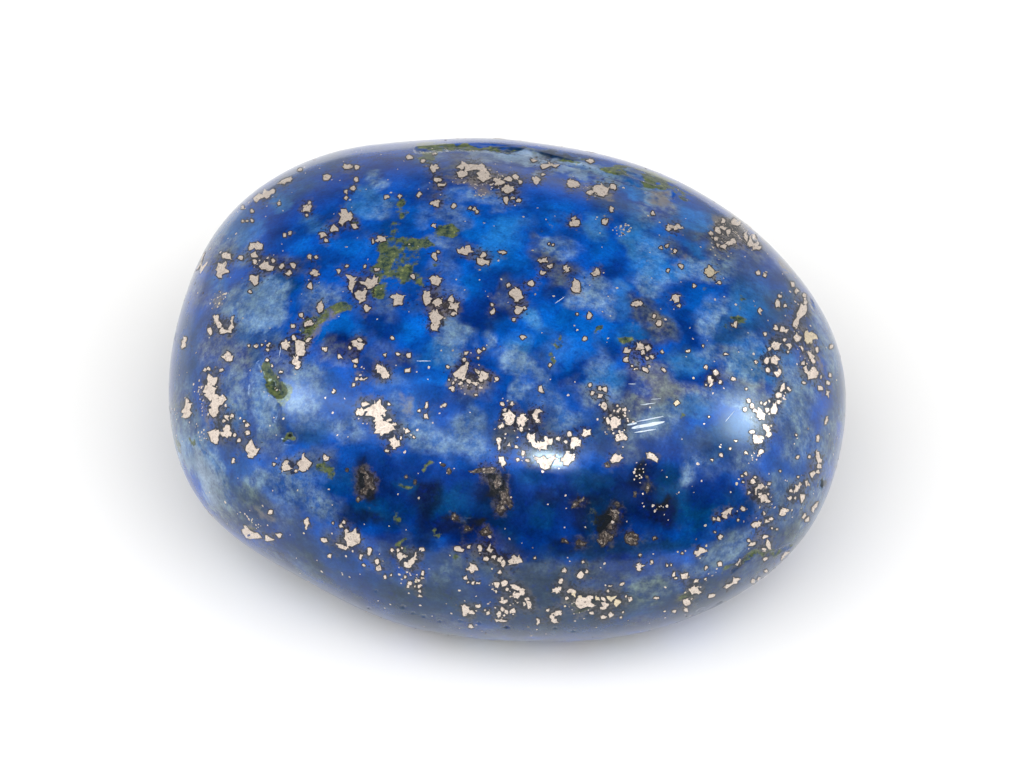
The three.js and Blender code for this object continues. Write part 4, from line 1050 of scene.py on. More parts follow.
# %% Noise at the sizes of the rock's own grain
DRIFT_SIZE, GREY_SIZE, CRUMB_SIZE, OTHER_CRUMB_SIZE, SUGAR_SIZE = 1.3, 1.9, 0.42, 0.34, 0.11  # mm
OTHER_START = (0.7, 0.2, 0.4)  # so that the second crumbs don't follow the first

rock, tree, where = new_material("polished_lapis_rock")
drift = grain_noise(tree, where, DRIFT_SIZE, detail=5, roughness=0.6)
grey_drift = grain_noise(tree, where, GREY_SIZE, detail=4, roughness=0.62)
crumb = grain_noise(tree, where, CRUMB_SIZE, detail=5, roughness=0.68)
moved = output_of(tree, "ShaderNodeMapping", {"Vector": where, "Location": OTHER_START})
other_crumb = grain_noise(tree, moved, OTHER_CRUMB_SIZE, detail=5, roughness=0.7)
sugar = grain_noise(tree, where, SUGAR_SIZE, detail=3, roughness=0.7)
print("five noises, from", GREY_SIZE, "down to", SUGAR_SIZE, "mm")

# %% The rock's colour
# a ramp's four numbers are two values of the noise, and what it gives at each of them
PALE_RED = 0.18  # the red of fully pale paint
CRUMB_PUSH = (0.34, 0.66, -1.0, 1.0)
CALCITE_LESS_BLUE = (0.056, 0.063, 0.026)  # what a pale crumb adds, and a blue one takes off
LEAST_COLOUR = (0.0, 0.008, 0.05)  # no crumb takes the blue below this
DRIFT_SHADES = (0.28, 0.72, 0.66, 1.34)
GREY_SHARES = (0.55, 1.0, 1.7)  # a greyer blue's red, green and blue, as shares of its brightness
GREY_AMOUNT = (0.52, 0.74, 0.0, 0.40)
LIGHT_GAIN, LIGHT_LIFT = (1.3, 1.5, 1.25), (0.003, 0.02, 0.02)
LIGHT_AMOUNT = (0.48, 0.74, 0.0, 0.34)
CRUMB_DEEP = colour(0.000, 0.014, 0.170)
DEEP_AMOUNT = (0.50, 0.72, 0.0, 0.50)
SUGAR_SHADES = (0.25, 0.75, 0.80, 1.20)

base = stored(tree, "cloud", "Color")
# red is only in the pale minerals, so it tells how pale the paint is; where that is halfway, at the
# edge of a cloud, crumbs of noise push it to one side or the other
paleness = ramp(tree, output_of(tree, "ShaderNodeSeparateColor", {0: base}), 0.0, PALE_RED)
halfway = times(tree, times(tree, paleness, 4.0), maths(tree, "SUBTRACT", 1.0, paleness))
push = times(tree, ramp(tree, crumb, *CRUMB_PUSH), halfway)
base = vector_maths(tree, "ADD", base, vector_maths(tree, "SCALE", CALCITE_LESS_BLUE, scale=push))
base = vector_maths(tree, "MAXIMUM", base, LEAST_COLOUR)
base = shaded(tree, base, ramp(tree, drift, *DRIFT_SHADES))
# here and there the blue is greyer, as far as its own brightness allows
brightness = output_of(tree, "ShaderNodeRGBToBW", {0: base})
greyed = output_of(tree, "ShaderNodeCombineColor", {
    index: times(tree, brightness, share) for index, share in enumerate(GREY_SHARES)
})
base = mix_colours(tree, ramp(tree, grey_drift, *GREY_AMOUNT), base, greyed)
lighter = vector_maths(tree, "MULTIPLY_ADD", base, LIGHT_GAIN, LIGHT_LIFT)
base = mix_colours(tree, ramp(tree, crumb, *LIGHT_AMOUNT), base, lighter)
base = mix_colours(tree, ramp(tree, other_crumb, *DEEP_AMOUNT), base, CRUMB_DEEP)
base = shaded(tree, base, ramp(tree, sugar, *SUGAR_SHADES))
print("the clouds pass through", len(tree.nodes), "nodes")

# %% [markdown]
# ## Marks over the clouds
# The rock's other minerals cover the blue in layers: brown stain, tan and green patches, fine black
# rock between the grains, and black specks. Each layer's map is bent by noise, cut at its threshold
# and mixed over what lies below, from the faintest to the darkest. Painted images could do this too,
# but they'd need an unwrapped skin, and noise gives a finer edge than any map that the mesh can hold.

# %% Stains and marks
STAIN = colour(0.085, 0.074, 0.074)
MATRIX = colour(0.012, 0.010, 0.012)
DARK_GREEN = colour(0.018, 0.036, 0.020)
OLIVE = colour(0.095, 0.120, 0.035)
YELLOW_GREEN = colour(0.240, 0.260, 0.075)
TAN_MARK = colour(0.190, 0.165, 0.145)
NEAR_BLACK = colour(0.008, 0.010, 0.012)
GREEN_SIZE, SPECKLE_SIZE = 0.30, 0.16  # in mm
TO_OLIVE, TO_YELLOW = (0.38, 0.54), (0.56, 0.68)  # where the green turns lighter
MARK_STARTS = (0.02, 0.25)  # where there is less of a mark, noise alone doesn't call it up

green_grain = grain_noise(tree, where, GREEN_SIZE, detail=5, roughness=0.75)
green_tint = mix_colours(tree, ramp(tree, green_grain, *TO_OLIVE), DARK_GREEN, OLIVE)
green_tint = mix_colours(tree, ramp(tree, green_grain, *TO_YELLOW), green_tint, YELLOW_GREEN)
speckle = grain_noise(tree, where, SPECKLE_SIZE, detail=3, roughness=0.7)
# map, colour, how much noise roughens its edge, its threshold's two ends, how far it covers, noise
MARK_LAYERS = (
    ("haze", STAIN, 0.75, 0.28, 0.80, 0.70, crumb),
    ("tan", TAN_MARK, 0.60, 0.25, 0.85, 0.80, crumb),
    ("green", green_tint, 0.75, 0.34, 0.66, 0.92, other_crumb),
    ("haze", MATRIX, 1.20, 0.54, 0.74, 0.80, speckle),
    ("dark", NEAR_BLACK, 0.65, 0.30, 0.75, 0.95, other_crumb),
)
for mark, tint, ragged, low, high, most, wander in MARK_LAYERS:
    amount = stored(tree, mark)
    wander = maths(tree, "MULTIPLY_ADD", wander, ragged * 2, -ragged)
    edge = maths(tree, "MULTIPLY_ADD", wander, ramp(tree, amount, *MARK_STARTS), amount)
    base = mix_colours(tree, ramp(tree, edge, low, high, 0.0, most), base, tint)
print(len(MARK_LAYERS), "layers of marks")

# %% [markdown]
# ## Polish
# Fine grit leaves the rock almost as smooth as glass, and the softer minerals a little duller than the
# hard ones. So the roughness wanders slowly between two low values. A second, clear layer over the
# rock isn't needed, because it's the rock itself that shines. The sugary grain gets the faintest bump.

# %% Gloss and fine relief
ROCK_GLOSS = (0.3, 0.7, 0.09, 0.17)
SUGAR_BUMP, SUGAR_DEPTH = 0.10, 0.01 * MM
COOL_SHINE = colour(0.62, 0.84, 1.0)

bump = {"Strength": SUGAR_BUMP, "Distance": SUGAR_DEPTH, "Height": sugar}
finish_material(tree, {
    "Base Color": base, "Roughness": ramp(tree, drift, *ROCK_GLOSS), "IOR": 1.5,
    "Normal": output_of(tree, "ShaderNodeBump", bump), "Specular Tint": COOL_SHINE,
})
skin.materials.clear()
skin.materials.append(rock)
skin.shade_smooth()
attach(stone, "root")
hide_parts("lapis_stone")

# %% [markdown]
# ## Pyrite and the ground that it lies in
# Pyrite is a metal sulphide, so its material is metallic: pale brass that mirrors the room where it
# faces a light, and turns dark where it faces the dark. Each grain lies in a dark rim, which gets a
# matt material. A tone stored on each grain makes some of them more golden. On the grains in the dark
# band it paints in the dark room's reflection instead, with painted glints of brass.

# %% Metal
BRASS = colour(0.72, 0.62, 0.54)
GOLD = colour(0.70, 0.60, 0.43)
# painted reflection of the dark room, which the grains in the dark band take as their colour
MIRRORED_DARK = colour(0.050, 0.040, 0.038)
TARNISH = colour(0.30, 0.24, 0.20)
DARK_GROUND = colour(0.016, 0.012, 0.014)
GROWN_SIZE, GLINT_SIZE, CAVITY_SIZE = 0.16, 0.13, 0.22  # in mm
GOLDEN_FROM, MIRRORED_DARK_UP_TO = (0.80, 0.95), (0.02, 0.25, 1.0, 0.0)  # as a grain's tone says
# painted glints of brass on those darkened grains
GLINT_AMOUNT = (0.53, 0.61, 0.0, 0.50)
TARNISH_AMOUNT = (0.46, 0.70, 0.0, 0.60)
CAVITY_AMOUNT = (0.60, 0.66, 0.0, 0.9)
METAL_GLOSS = (0.3, 0.7, 0.24, 0.45)
METALLIC = 0.45
GROWTH_DEPTH = 0.02 * MM

pyrite, tree, where = new_material("polished_pyrite")
grown = grain_noise(tree, where, GROWN_SIZE, detail=4, roughness=0.65)
glints = grain_noise(tree, where, GLINT_SIZE, detail=3, roughness=0.7)
cavity = grain_noise(tree, where, CAVITY_SIZE, detail=5, roughness=0.75)
tone = stored(tree, "tone")
metal = mix_colours(tree, ramp(tree, tone, *GOLDEN_FROM), BRASS, GOLD)
# grains in the dark band: painted reflection of the dark room, with painted glints
mirrored_dark_metal = mix_colours(tree, ramp(tree, glints, *GLINT_AMOUNT), MIRRORED_DARK, BRASS)
metal = mix_colours(tree, ramp(tree, tone, *MIRRORED_DARK_UP_TO), metal, mirrored_dark_metal)
metal = mix_colours(tree, ramp(tree, grown, *TARNISH_AMOUNT), metal, TARNISH)
metal = mix_colours(tree, ramp(tree, cavity, *CAVITY_AMOUNT), metal, DARK_GROUND)
bump = {"Strength": 1.0, "Distance": GROWTH_DEPTH, "Height": grown}
finish_material(tree, {
    "Base Color": metal, "Metallic": METALLIC, "Roughness": ramp(tree, grown, *METAL_GLOSS),
    "Normal": output_of(tree, "ShaderNodeBump", bump),
})

# %% Dark ground
BROWN_GROUND = colour(0.036, 0.028, 0.028)
RIM_MOTTLE_SIZE = 0.12  # in mm
BROWN_FROM = (0.4, 0.7)
GROUND_GLOSS = (0.3, 0.7, 0.25, 0.5)

ground, tree, where = new_material("crumbled_dark_rock")
rim_mottle = grain_noise(tree, where, RIM_MOTTLE_SIZE, detail=4, roughness=0.7)
finish_material(tree, {
    "Base Color": mix_colours(tree, ramp(tree, rim_mottle, *BROWN_FROM), DARK_GROUND, BROWN_GROUND),
    "Roughness": ramp(tree, rim_mottle, *GROUND_GLOSS), "Specular Tint": colour(0.55, 0.8, 1.0),
})

# %% [markdown]
# ## Trees that lay the grains
# Every grain is a thin, many-sided chip, and there are well over a thousand of them, so Geometry Nodes
# lay them. Points carry each grain's length, width and turn. A chip is set on every point and made
# real, noise bends its outline, and rays from the eye carry it from the flat sheet onto the stone.
# Its top ends a hundredth of a mm proud and its foot is sunk in the rock. Modelling each chip by hand
# would look the same, but it would take days, and moving one would mean modelling it again.

# %% Helpers for building trees


def new_tree(name, inputs):
    """A Geometry Nodes tree with a geometry in and out, and the named inputs in between."""
    made = bpy.data.node_groups.new(name, "GeometryNodeTree")
    made.is_modifier = True
    made.interface.new_socket("Geometry", in_out="INPUT", socket_type="NodeSocketGeometry")
    for label, kind, value in inputs:
        socket = made.interface.new_socket(label, in_out="INPUT", socket_type="NodeSocket" + kind)
        if value is not None:
            socket.default_value = value
    made.interface.new_socket("Geometry", in_out="OUTPUT", socket_type="NodeSocketGeometry")
    return made, made.nodes.new("NodeGroupInput").outputs


def attribute(tree, name, kind="FLOAT"):
    """Reads a named attribute in a tree."""
    inputs = {"Name": name}
    return output_of(tree, "GeometryNodeInputNamedAttribute", inputs, "Attribute", data_type=kind)


def keep(tree, geometry, name, value, kind="FLOAT"):
    """Stores a named attribute on the points of a geometry."""
    return output_of(tree, "GeometryNodeStoreNamedAttribute", {
        "Geometry": geometry, "Name": name, "Value": value,
    }, data_type=kind, domain="POINT")


def vector_of(tree, x=0.0, y=0.0, z=0.0):
    """Three numbers joined into a vector."""
    return output_of(tree, "ShaderNodeCombineXYZ", {0: x, 1: y, 2: z})


def own_place(tree):
    """Where each point of a geometry is."""
    return output_of(tree, "GeometryNodeInputPosition")


def finish_tree(tree, geometry, material):
    """Gives the chips their material and sends them out."""
    done = add_node(tree, "GeometryNodeSetMaterial", {"Geometry": geometry, "Material": material})
    add_node(tree, "NodeGroupOutput", {0: done.outputs[0]})
    print(tree.name, "has", len(tree.nodes), "nodes")


# %% Chips
FEW_CORNERS, MANY_CORNERS = 9, 22
LARGE_CHIP = 0.32 * MM  # a broader chip gets many corners
CHIP_THICKNESS = 0.02 * MM


def chip(tree, corners):
    """A flat many-sided chip of unit size, its top marked and its outline kept for the noise."""
    cylinder = output_of(tree, "GeometryNodeMeshCylinder", {
        "Vertices": corners, "Radius": 0.5, "Depth": CHIP_THICKNESS,
    }, "Mesh", fill_type="TRIANGLE_FAN")
    position = own_place(tree)
    level = output_of(tree, "ShaderNodeSeparateXYZ", {0: position}, 2)
    marked = keep(tree, cylinder, "top", maths(tree, "GREATER_THAN", level, 0.0))
    return keep(tree, marked, "outline", position, kind="FLOAT_VECTOR")


def chips_on_points(tree, points, grow, rotation):
    """Sets a chip on every point, with more corners on a large one, and makes them real."""
    length, width = (
        maths(tree, "ADD", attribute(tree, name), grow) for name in ("length", "width"))
    size = vector_of(tree, length, width, 1.0)
    large = output_of(
        tree, "FunctionNodeCompare", {0: attribute(tree, "breadth"), 1: LARGE_CHIP},
        data_type="FLOAT", operation="GREATER_THAN",
    )
    small = output_of(tree, "FunctionNodeBooleanMath", {0: large}, operation="NOT")
    both = tree.nodes.new("GeometryNodeJoinGeometry")
    for corners, chosen in ((FEW_CORNERS, small), (MANY_CORNERS, large)):
        placed = output_of(tree, "GeometryNodeInstanceOnPoints", {
            "Points": points, "Selection": chosen, "Instance": chip(tree, corners),
            "Rotation": rotation, "Scale": size,
        })
        tree.links.new(placed, both.inputs[0])
    return output_of(tree, "GeometryNodeRealizeInstances", {"Geometry": both.outputs[0]})


print("chips with", FEW_CORNERS, "and", MANY_CORNERS, "corners")

# %% Bent outlines, and the height at which chips lie
SEED_STEPS = (7.31, 3.17)  # how far apart two chips lie in the noise, for each step of the seed
BEND_SCALE, BEND_DETAIL, BEND_ROUGHNESS = 1.8, 3.0, 0.75  # in a chip's own size


def bent_outlines(tree, geometry, ripple):
    """Moves the corners of every chip by noise of its own, so that no two are alike."""
    seed = attribute(tree, "seed")
    outline = attribute(tree, "outline", "FLOAT_VECTOR")
    flat = vector_maths(tree, "MULTIPLY", outline, (1.0, 1.0, 0.0))
    start = vector_of(tree, *(times(tree, seed, step) for step in SEED_STEPS), seed)
    bends = output_of(tree, "ShaderNodeTexNoise", {
        "Vector": vector_maths(tree, "ADD", flat, start), "Scale": BEND_SCALE,
        "Detail": BEND_DETAIL, "Roughness": BEND_ROUGHNESS,
    }, "Color")
    centred = vector_maths(tree, "SUBTRACT", bends, (0.5, 0.5, 0.5))
    amount = times(tree, attribute(tree, "breadth"), ripple)
    return output_of(tree, "GeometryNodeSetPosition", {
        "Geometry": geometry, "Offset": vector_maths(tree, "SCALE", centred, scale=amount),
    })


def raised(tree, geometry, stone_geometry, proud, root):
    """Sets tops a little proud of the skin under them, and feet a little below it."""
    normal = output_of(tree, "GeometryNodeInputNormal")
    skin_normal = output_of(tree, "GeometryNodeSampleNearestSurface", {
        "Mesh": stone_geometry, "Value": normal, "Sample Position": own_place(tree),
    }, data_type="FLOAT_VECTOR")
    foot = times(tree, root, -1.0)
    height = between(tree, attribute(tree, "top"), foot, proud)
    return output_of(tree, "GeometryNodeSetPosition", {
        "Geometry": geometry, "Offset": vector_maths(tree, "SCALE", skin_normal, scale=height),
    })


print("noise moves outlines by up to the ripple times a chip's breadth")

# %% [markdown]
# ## The tree for written-down grains
# The points lie on the flat sheet, and a chip on each of them is a flat shape there too. A ray from the
# eye through every corner of every chip finds where that corner meets the stone, so the chips wrap
# round the curve by themselves. A Shrinkwrap modifier could press them on as well, but it pushes
# straight down or to the nearest place, and so it would shift the grains near the rim.

# %% Tree for grains that are placed from the eye
tree, given = new_tree("grains_laid_from_the_eye", (
    ("Stone", "Object", None), ("Grow", "Float", 0.0), ("Ripple", "Float", 1.9),
    ("Proud", "Float", 0.012 * MM), ("Root", "Float", 0.05 * MM), ("Material", "Material", None),
))
stone_geometry = output_of(tree, "GeometryNodeObjectInfo", {"Object": given["Stone"]}, "Geometry")
turn = vector_of(tree, z=attribute(tree, "turn"))
chips = chips_on_points(tree, given["Geometry"], given["Grow"], turn)
chips = bent_outlines(tree, chips, given["Ripple"])
flat_place = add_node(tree, "ShaderNodeSeparateXYZ", {0: own_place(tree)}).outputs
on_sheet = vector_maths(
    tree, "ADD",
    vector_maths(tree, "SCALE", tuple(sheet_right), scale=flat_place[0]),
    vector_maths(tree, "SCALE", tuple(sheet_up), scale=flat_place[1]),
)
on_sheet = vector_maths(tree, "ADD", on_sheet, tuple(STONE_MIDDLE))
from_eye = vector_maths(tree, "SUBTRACT", on_sheet, tuple(eye))
# the ray's start has to come in by a link, because an unlinked start means the chip's own place
ray = add_node(tree, "GeometryNodeRaycast", {
    "Target Geometry": stone_geometry, "Source Position": vector_of(tree, *eye),
    "Ray Direction": vector_maths(tree, "NORMALIZE", from_eye), "Ray Length": 2 * EYE_DISTANCE,
}).outputs
around = {0: stone_geometry, "Source Position": on_sheet}
nearest = output_of(tree, "GeometryNodeProximity", around, "Position")
met = output_of(tree, "GeometryNodeSwitch", {
    "Switch": ray["Is Hit"], "False": nearest, "True": ray["Hit Position"],
}, input_type="VECTOR")
chips = output_of(tree, "GeometryNodeSetPosition", {"Geometry": chips, "Position": met})
chips = raised(tree, chips, stone_geometry, given["Proud"], given["Root"])
finish_tree(tree, chips, given["Material"])
eye_tree = tree

# %% [markdown]
# ## The tree for strewn grains
# Specks, and all the grains of the far side, aren't written down. This tree scatters points over the
# skin as thickly as a stored map says, gives each point a size, a turn and a tone by chance, and lays
# a chip on it. The seed is fixed, so chance gives the same grains each time.

# %% Points strewn over the skin, each with its sizes
SKEW = 3.0  # most grains are small: the cube of an even chance is mostly near nothing
SLIMMEST = 0.5  # the least width, as a share of the length
MOST_SEED = 90.0

tree, given = new_tree("grains_strewn_on_the_skin", (
    ("Stone", "Object", None), ("Crowding", "String", "swarm"),
    ("Smallest", "Float", 0.06 * MM), ("Largest", "Float", 0.14 * MM), ("Seed", "Int", 3),
    ("Grow", "Float", 0.0), ("Ripple", "Float", 0.8), ("Proud", "Float", 0.010 * MM),
    ("Root", "Float", 0.04 * MM), ("Material", "Material", None),
))
stone_geometry = output_of(tree, "GeometryNodeObjectInfo", {"Object": given["Stone"]}, "Geometry")
strewn = add_node(tree, "GeometryNodeDistributePointsOnFaces", {
    "Mesh": stone_geometry, "Density": attribute(tree, given["Crowding"]),
    "Seed": given["Seed"],
}, distribute_method="RANDOM").outputs


def chance(seed_shift, low=0.0, high=1.0):
    """A random number for each point, with a seed of its own."""
    return output_of(tree, "FunctionNodeRandomValue", {
        2: low, 3: high, "Seed": maths(tree, "ADD", given["Seed"], float(seed_shift)),
    }, 1, data_type="FLOAT")


skewed = maths(tree, "POWER", chance(1), SKEW)
length = between(tree, skewed, given["Smallest"], given["Largest"])
width = times(tree, length, chance(2, SLIMMEST, 1.0))
breadth = times(tree, maths(tree, "ADD", length, width), 0.5)
points = keep(tree, strewn["Points"], "upright", strewn["Normal"], kind="FLOAT_VECTOR")
for name, value in {
    "length": length, "width": width, "breadth": breadth, "seed": chance(3, 0.0, MOST_SEED),
    "tone": chance(4),
}.items():
    points = keep(tree, points, name, value)
print("the points and their sizes take", len(tree.nodes), "nodes")

# %% Chips on those points
aligned = output_of(tree, "FunctionNodeAlignRotationToVector", {
    "Vector": attribute(tree, "upright", "FLOAT_VECTOR"),
}, axis="Z")
spin = output_of(tree, "FunctionNodeAxisAngleToRotation", {
    "Axis": (0.0, 0.0, 1.0), "Angle": chance(5, 0.0, math.tau),
})
rotation = output_of(
    tree, "FunctionNodeRotateRotation", {0: aligned, 1: spin}, rotation_space="LOCAL",
)
chips = chips_on_points(tree, points, given["Grow"], rotation)
chips = bent_outlines(tree, chips, given["Ripple"])
nearest = output_of(tree, "GeometryNodeProximity", {0: stone_geometry}, "Position")
chips = output_of(tree, "GeometryNodeSetPosition", {"Geometry": chips, "Position": nearest})
chips = raised(tree, chips, stone_geometry, given["Proud"], given["Root"])
finish_tree(tree, chips, given["Material"])
skin_tree = tree

# %% [markdown]
# ## Laying every grain
# The lists become a mesh of loose points, each with its grain's sizes stored on it. The same points
# go through the tree twice: once for the metal, and once, grown a little wider and set lower, for the
# dark ground. The far side is strewn from chance with a fixed seed, so it comes out the same each run.

# %% Points for the written-down grains
FIRST_SEED, SEED_STEP = 1.0, 1.37
# where a grain looks golden
GOLDEN = ((809, 337), (711, 272), (677, 403), (787, 266), (577, 596), (597, 598), (615, 600))
GOLDEN_REACH = 5  # how many dots of the frame a grain may lie from there
BAND_TOP = 464  # the row below which grains in the dark band get the painted reflection of the dark room
MIRRORED_DARK_TONE, BRASSY, GOLDEN_TONE = 0.0, 0.5, 1.0
TRIM = 0.92  # the noise widens a chip, so each starts a little smaller than it should look


def tone_of(grain, mirrors_dark):
    """Golden at the golden places, painted dark if it mirrors the dark room, and brassy elsewhere."""
    column, row, *_ = grain
    for gold_column, gold_row in GOLDEN:
        if math.hypot(column - gold_column, row - gold_row) < GOLDEN_REACH:
            return GOLDEN_TONE
    return MIRRORED_DARK_TONE if grain in mirrors_dark else BRASSY


def grain_points(name, spots, mirrors_dark=()):
    """Loose points on the sheet, with each grain's length, width, turn, breadth, seed and tone."""
    points_mesh = bpy.data.meshes.new(name)
    on_sheet = [sheet_place(column, row) for column, row, *_ in spots]
    points_mesh.from_pydata([(right * MM, up * MM, 0) for right, up in on_sheet], [], [])
    lengths = [TRIM * length * MM for _, _, length, _, _ in spots]
    widths = [TRIM * width * MM for _, _, _, width, _ in spots]
    store(points_mesh, "length", lengths)
    store(points_mesh, "width", widths)
    store(points_mesh, "breadth", [sum(sizes) / 2 for sizes in zip(lengths, widths)])
    store(points_mesh, "turn", [math.radians(turn) for *_, turn in spots])
    store(points_mesh, "seed", [FIRST_SEED + SEED_STEP * index for index in range(len(spots))])
    store(points_mesh, "tone", [tone_of(grain, mirrors_dark) for grain in spots])
    return points_mesh


# the grains in the dark band below BAND_TOP get the painted reflection of the dark room
grains_mirroring_dark = [grain for grain in grains["dark band"] if grain[1] > BAND_TOP]
written_down = grain_points("grain_points", sum(grains.values(), []), mirrors_dark=grains_mirroring_dark)
print(len(written_down.vertices), "points,", len(grains_mirroring_dark), "of them for dull grains")

# %% The pieces
BED_PROUD = 0.004 * MM
FAR_SIZES = {"Crowding": "far_grains", "Smallest": 0.10 * MM, "Largest": 0.85 * MM, "Seed": 11}


def laid(name, points_mesh, tree, **settings):
    """Runs a tree on a mesh, and makes the result a finished piece that rides on the stone."""
    piece = add_object(name, points_mesh)
    modifier = piece.modifiers.new("lay", "NODES")
    modifier.node_group = tree
    sockets = {
        item.name: item.identifier
        for item in tree.interface.items_tree if item.in_out == "INPUT"
    }
    for label, value in {"Stone": stone, **settings}.items():
        modifier[sockets[label]] = value
    piece_mesh = plain_mesh(piece)
    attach(piece, "root")
    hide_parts("lapis_stone")
    print(name, "has", len(piece_mesh.polygons), "faces")


laid("pyrite_grains", written_down, eye_tree, Material=pyrite)
laid("grain_beds", written_down.copy(), eye_tree, Material=ground, Grow=0.10 * MM, Ripple=2.0,
     Proud=BED_PROUD)
nothing = bpy.data.meshes.new("nothing_yet")
laid("pyrite_specks", nothing, skin_tree, Material=pyrite)
laid("far_grains", nothing.copy(), skin_tree, Material=pyrite, **FAR_SIZES)
laid("far_beds", nothing.copy(), skin_tree, Material=ground, Grow=0.07 * MM, Ripple=1.0,
     Proud=BED_PROUD, **FAR_SIZES)

# %% [markdown]
# ## Scratches and a painted streak
# Knocks have scratched the polish here and there, which leaves fine, pale scratches and one short
# streak. The streak is a painted reflection of a lamp, and the scratches' white is partly a painted
# glint. They are laid like the grains, as very thin chips with a matt, light material. Cutting them in
# as grooves would be closer to the truth, but grooves this fine would need a far finer skin.

# %% Scratches, and a streak of painted reflection
# column, row, length and width in mm, and a turn in degrees where there is one
SCRATCHES_AND_STREAK = (
    # the first four lie side by side as the broad streak, a painted reflection of a lamp
    (648, 425, 1.6, .16, 11), (650, 419, 1.3, .05, 11), (645, 431, 1.1, .05, 9), (632, 424, .5, .1, 12),
    (648, 404, .75, .03, 8), (656, 399, .5, .02, 4), (632, 384, .4, .02), (424, 361, .7, .02),
    (730, 416, .7, .02, 50), (560, 300, .6, .02, 35), (280, 352, .5, .02, 80),
)
# pale blue to white: the scratches' own pale, partly a painted glint
SCRATCH_GLINT_BLUE, SCRATCH_GLINT_WHITE = colour(0.30, 0.38, 0.52), colour(0.62, 0.70, 0.80)
SCRATCH_MOTTLE_SIZE = 0.2  # in mm
SCRATCH_GLINT_WHITE_FROM = (0.28, 0.52)

scratch_and_glint, tree, where = new_material("bruised_polish")
scratch_mottle = grain_noise(tree, where, SCRATCH_MOTTLE_SIZE, detail=3)
finish_material(tree, {
    "Base Color": mix_colours(tree, ramp(tree, scratch_mottle, *SCRATCH_GLINT_WHITE_FROM), SCRATCH_GLINT_BLUE, SCRATCH_GLINT_WHITE),
    "Roughness": 0.5,
})
scratch_points = grain_points("scratch_points", [whole(*scratch) for scratch in SCRATCHES_AND_STREAK])
laid("fine_scratches", scratch_points, eye_tree, Material=scratch_and_glint, Ripple=0.12,
     Proud=0.009 * MM, Root=0.02 * MM)

# %% [markdown]
# ## The floor
# The stone lies on a plain white sheet, which catches its soft shadow. A flat disc is enough for that.
# It is small, because the polish mirrors it too: past its edge the stone sees the room instead, and
# so the pale foot of the reflection stays low on the stone.

# %% Floor
FLOOR_REACH = 0.05  # past this the room takes over, as bright as the floor itself
FLOOR_CORNERS = 96
PAPER_WHITE = colour(0.87, 0.865, 0.855)

floor_mesh = bpy.data.meshes.new("floor")
turns = [math.tau * corner / FLOOR_CORNERS for corner in range(FLOOR_CORNERS)]
floor_mesh.from_pydata(
    [(FLOOR_REACH * math.cos(turn), FLOOR_REACH * math.sin(turn), 0) for turn in turns],
    [], [range(FLOOR_CORNERS)],
)
floor = add_object("floor", floor_mesh)
floor_material = bpy.data.materials.new("white_sweep")
floor_material.use_nodes = True
paper = floor_material.node_tree.nodes["Principled BSDF"].inputs
paper["Base Color"].default_value = PAPER_WHITE
paper["Roughness"].default_value = 0.9
paper["Specular IOR Level"].default_value = 0.0
floor_mesh.materials.append(floor_material)
print("the floor reaches", FLOOR_REACH / MM, "mm from the stone's middle")

# %% [markdown]
# ## The room that the polish mirrors
# A polished stone shows its surroundings as much as its own colour. Here a soft box hangs above the
# front, pale walls stand low all round, and behind the camera the room is dark, which shows as a deep
# band across the front. Real lamps and cards could stand round the stone, but a world built from
# angles is smoother, casts no noise, and can be tuned one part at a time.

# %% Which way a ray looks
world = bpy.data.worlds.new("studio")
world.use_nodes = True
bpy.context.scene.world = world
tree = world.node_tree
tree.nodes.clear()
direction = output_of(tree, "ShaderNodeTexCoord", output="Generated")
from_camera_side = output_of(tree, "ShaderNodeVectorRotate", {
    "Vector": direction, "Axis": (0, 0, 1), "Angle": -EYE_ROUND,
}, rotation_type="AXIS_ANGLE")
side, depth, height = add_node(tree, "ShaderNodeSeparateXYZ", {0: from_camera_side}).outputs
front = times(tree, depth, -1.0)
# the bearing round from the camera's side, and the angle up from level, both in degrees
bearing = maths(tree, "DEGREES", maths(tree, "ARCTAN2", side, front))
upward = maths(tree, "DEGREES", maths(tree, "ARCSINE", height))
bearing_size = maths(tree, "ABSOLUTE", bearing)
print("bearings are counted from", round(math.degrees(EYE_ROUND), 1), "degrees round")

# %% Walls, soft box and the dark room behind the camera
SWEEP = 1.15  # the pale sweep, low down all round
BACK_SWEEP = 0.55  # the same behind the stone, where less light reaches it
CEILING = 0.05
OPENING = 0.03  # the dark room behind the camera
SOFT_BOX = 0.95
# the top of the opening, in degrees: how high it is in the middle, how much it rises for each degree
# round, and how much lower it has fallen at its sides, this far round
EDGE_HEIGHT, EDGE_LEAN, EDGE_FALL, EDGE_SIDE = 63.0, 0.045, 19.0, 70.0
EDGE_BLUR = 1.5
# two angles in degrees, and what holds at each of them
SWEEP_ENDS = (90, 160, 20.0, 6.0)  # behind the stone the sweep ends lower than at the sides
SWEEP_GLOWS = (110, 165, SWEEP, BACK_SWEEP)
SWEEP_FADE = (0.0, 18.0)
BOX_TOP, BOX_SIDES = (70, 77, 1, 0), (95, 120, 1, 0)
DARK_SIDES = (62, 74, 1, 0)

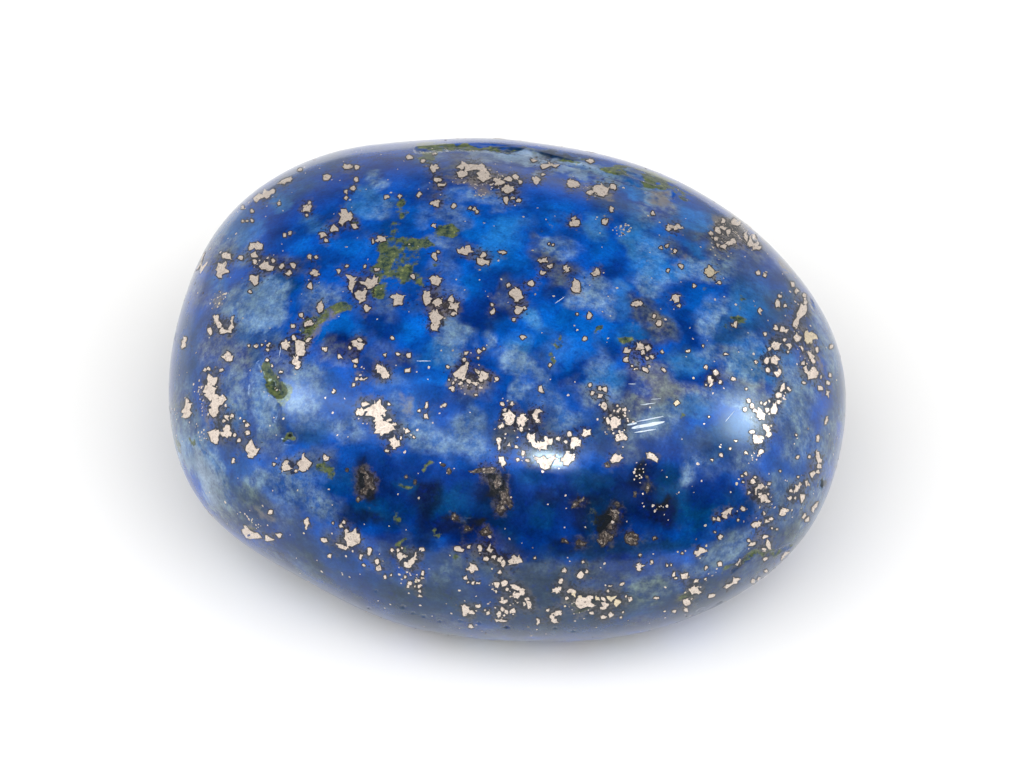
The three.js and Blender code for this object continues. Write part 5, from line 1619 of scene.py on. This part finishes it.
share = maths(tree, "DIVIDE", bearing, EDGE_SIDE)
fall = times(tree, times(tree, share, share), EDGE_FALL)
edge = maths(
    tree, "SUBTRACT", maths(tree, "MULTIPLY_ADD", bearing, EDGE_LEAN, EDGE_HEIGHT), fall)
above_edge = maths(tree, "SUBTRACT", upward, edge)
above_sweep = maths(tree, "SUBTRACT", upward, ramp(tree, bearing_size, *SWEEP_ENDS))
walls = between(
    tree, ramp(tree, above_sweep, *SWEEP_FADE), ramp(tree, bearing_size, *SWEEP_GLOWS), CEILING)
box_rows = times(
    tree, ramp(tree, above_edge, -EDGE_BLUR, EDGE_BLUR), ramp(tree, upward, *BOX_TOP))
box_front = times(tree, box_rows, ramp(tree, bearing_size, *BOX_SIDES))
dark_room = times(
    tree, ramp(tree, above_edge, -EDGE_BLUR, EDGE_BLUR, 1, 0), ramp(tree, bearing_size, *DARK_SIDES))
room = between(tree, dark_room, between(tree, box_front, walls, SOFT_BOX), OPENING)
print("the opening's top is", EDGE_HEIGHT, "degrees up in the middle")

# %% Soft lamps that show only in the polish
# degrees up, degrees round from the camera's side, degrees from the middle to where each is still
# full and to where it has faded out, and how bright it is
SOFT_LAMPS = (
    (41, -92, 0.0, 11.0, 13.0), (53, -84, 0.0, 8.0, 3.0), (37, 97, 0.0, 18.0, 16.5),
    (63, -2, 1.0, 5.5, 55.0), (59, -74, 0.0, 6.0, 6.0), (66, 73, 0.5, 5.0, 8.0),
)
for lamp_up, lamp_round, full, faded, brightness in SOFT_LAMPS:
    up_angle, round_angle = math.radians(lamp_up), math.radians(lamp_round)
    aim = (
        math.sin(round_angle) * math.cos(up_angle), -math.cos(round_angle) * math.cos(up_angle),
        math.sin(up_angle),
    )
    toward = vector_maths(tree, "DOT_PRODUCT", from_camera_side, aim)
    away = maths(tree, "DEGREES", maths(tree, "ARCCOSINE", toward))
    room = maths(tree, "ADD", room, ramp(tree, away, full, faded, brightness, 0.0))
print(len(SOFT_LAMPS), "soft lamps")

# %% [markdown]
# ## The light
# The same world lights the stone and the floor, with a softer picture than the one it shows the
# polish: an even glow and a broad light from the front. A Light Path node tells the two kinds of ray
# apart. A single lamp would give a harder shadow than a broad light does.

# %% The light that shapes the stone and the floor
DOME = 0.35  # an even glow from everywhere
FRONT_LIGHT = 3.1  # a broad, soft light from in front and above
LIGHT_FOOT, LIGHT_TOP, LIGHT_SIDES = (12, 48), (68, 86, 1, 0), (60, 110, 1, 0)  # where it fades
WHITE_BACKDROP = 1.0

lit_rows = times(tree, ramp(tree, upward, *LIGHT_FOOT), ramp(tree, upward, *LIGHT_TOP))
lit_patch = times(tree, lit_rows, ramp(tree, bearing_size, *LIGHT_SIDES))
glow = maths(tree, "MULTIPLY_ADD", lit_patch, FRONT_LIGHT, DOME)
ray_kind = add_node(tree, "ShaderNodeLightPath").outputs
seen_by = between(tree, ray_kind["Is Glossy Ray"], glow, room)
strength = between(tree, ray_kind["Is Camera Ray"], seen_by, WHITE_BACKDROP)
background = add_node(tree, "ShaderNodeBackground", {
    "Color": colour(1.0, 1.0, 1.0), "Strength": strength,
})
add_node(tree, "ShaderNodeOutputWorld", {"Surface": background.outputs[0]})
bpy.context.scene.view_settings.view_transform = "Standard"
print("the world has", len(tree.nodes), "nodes")
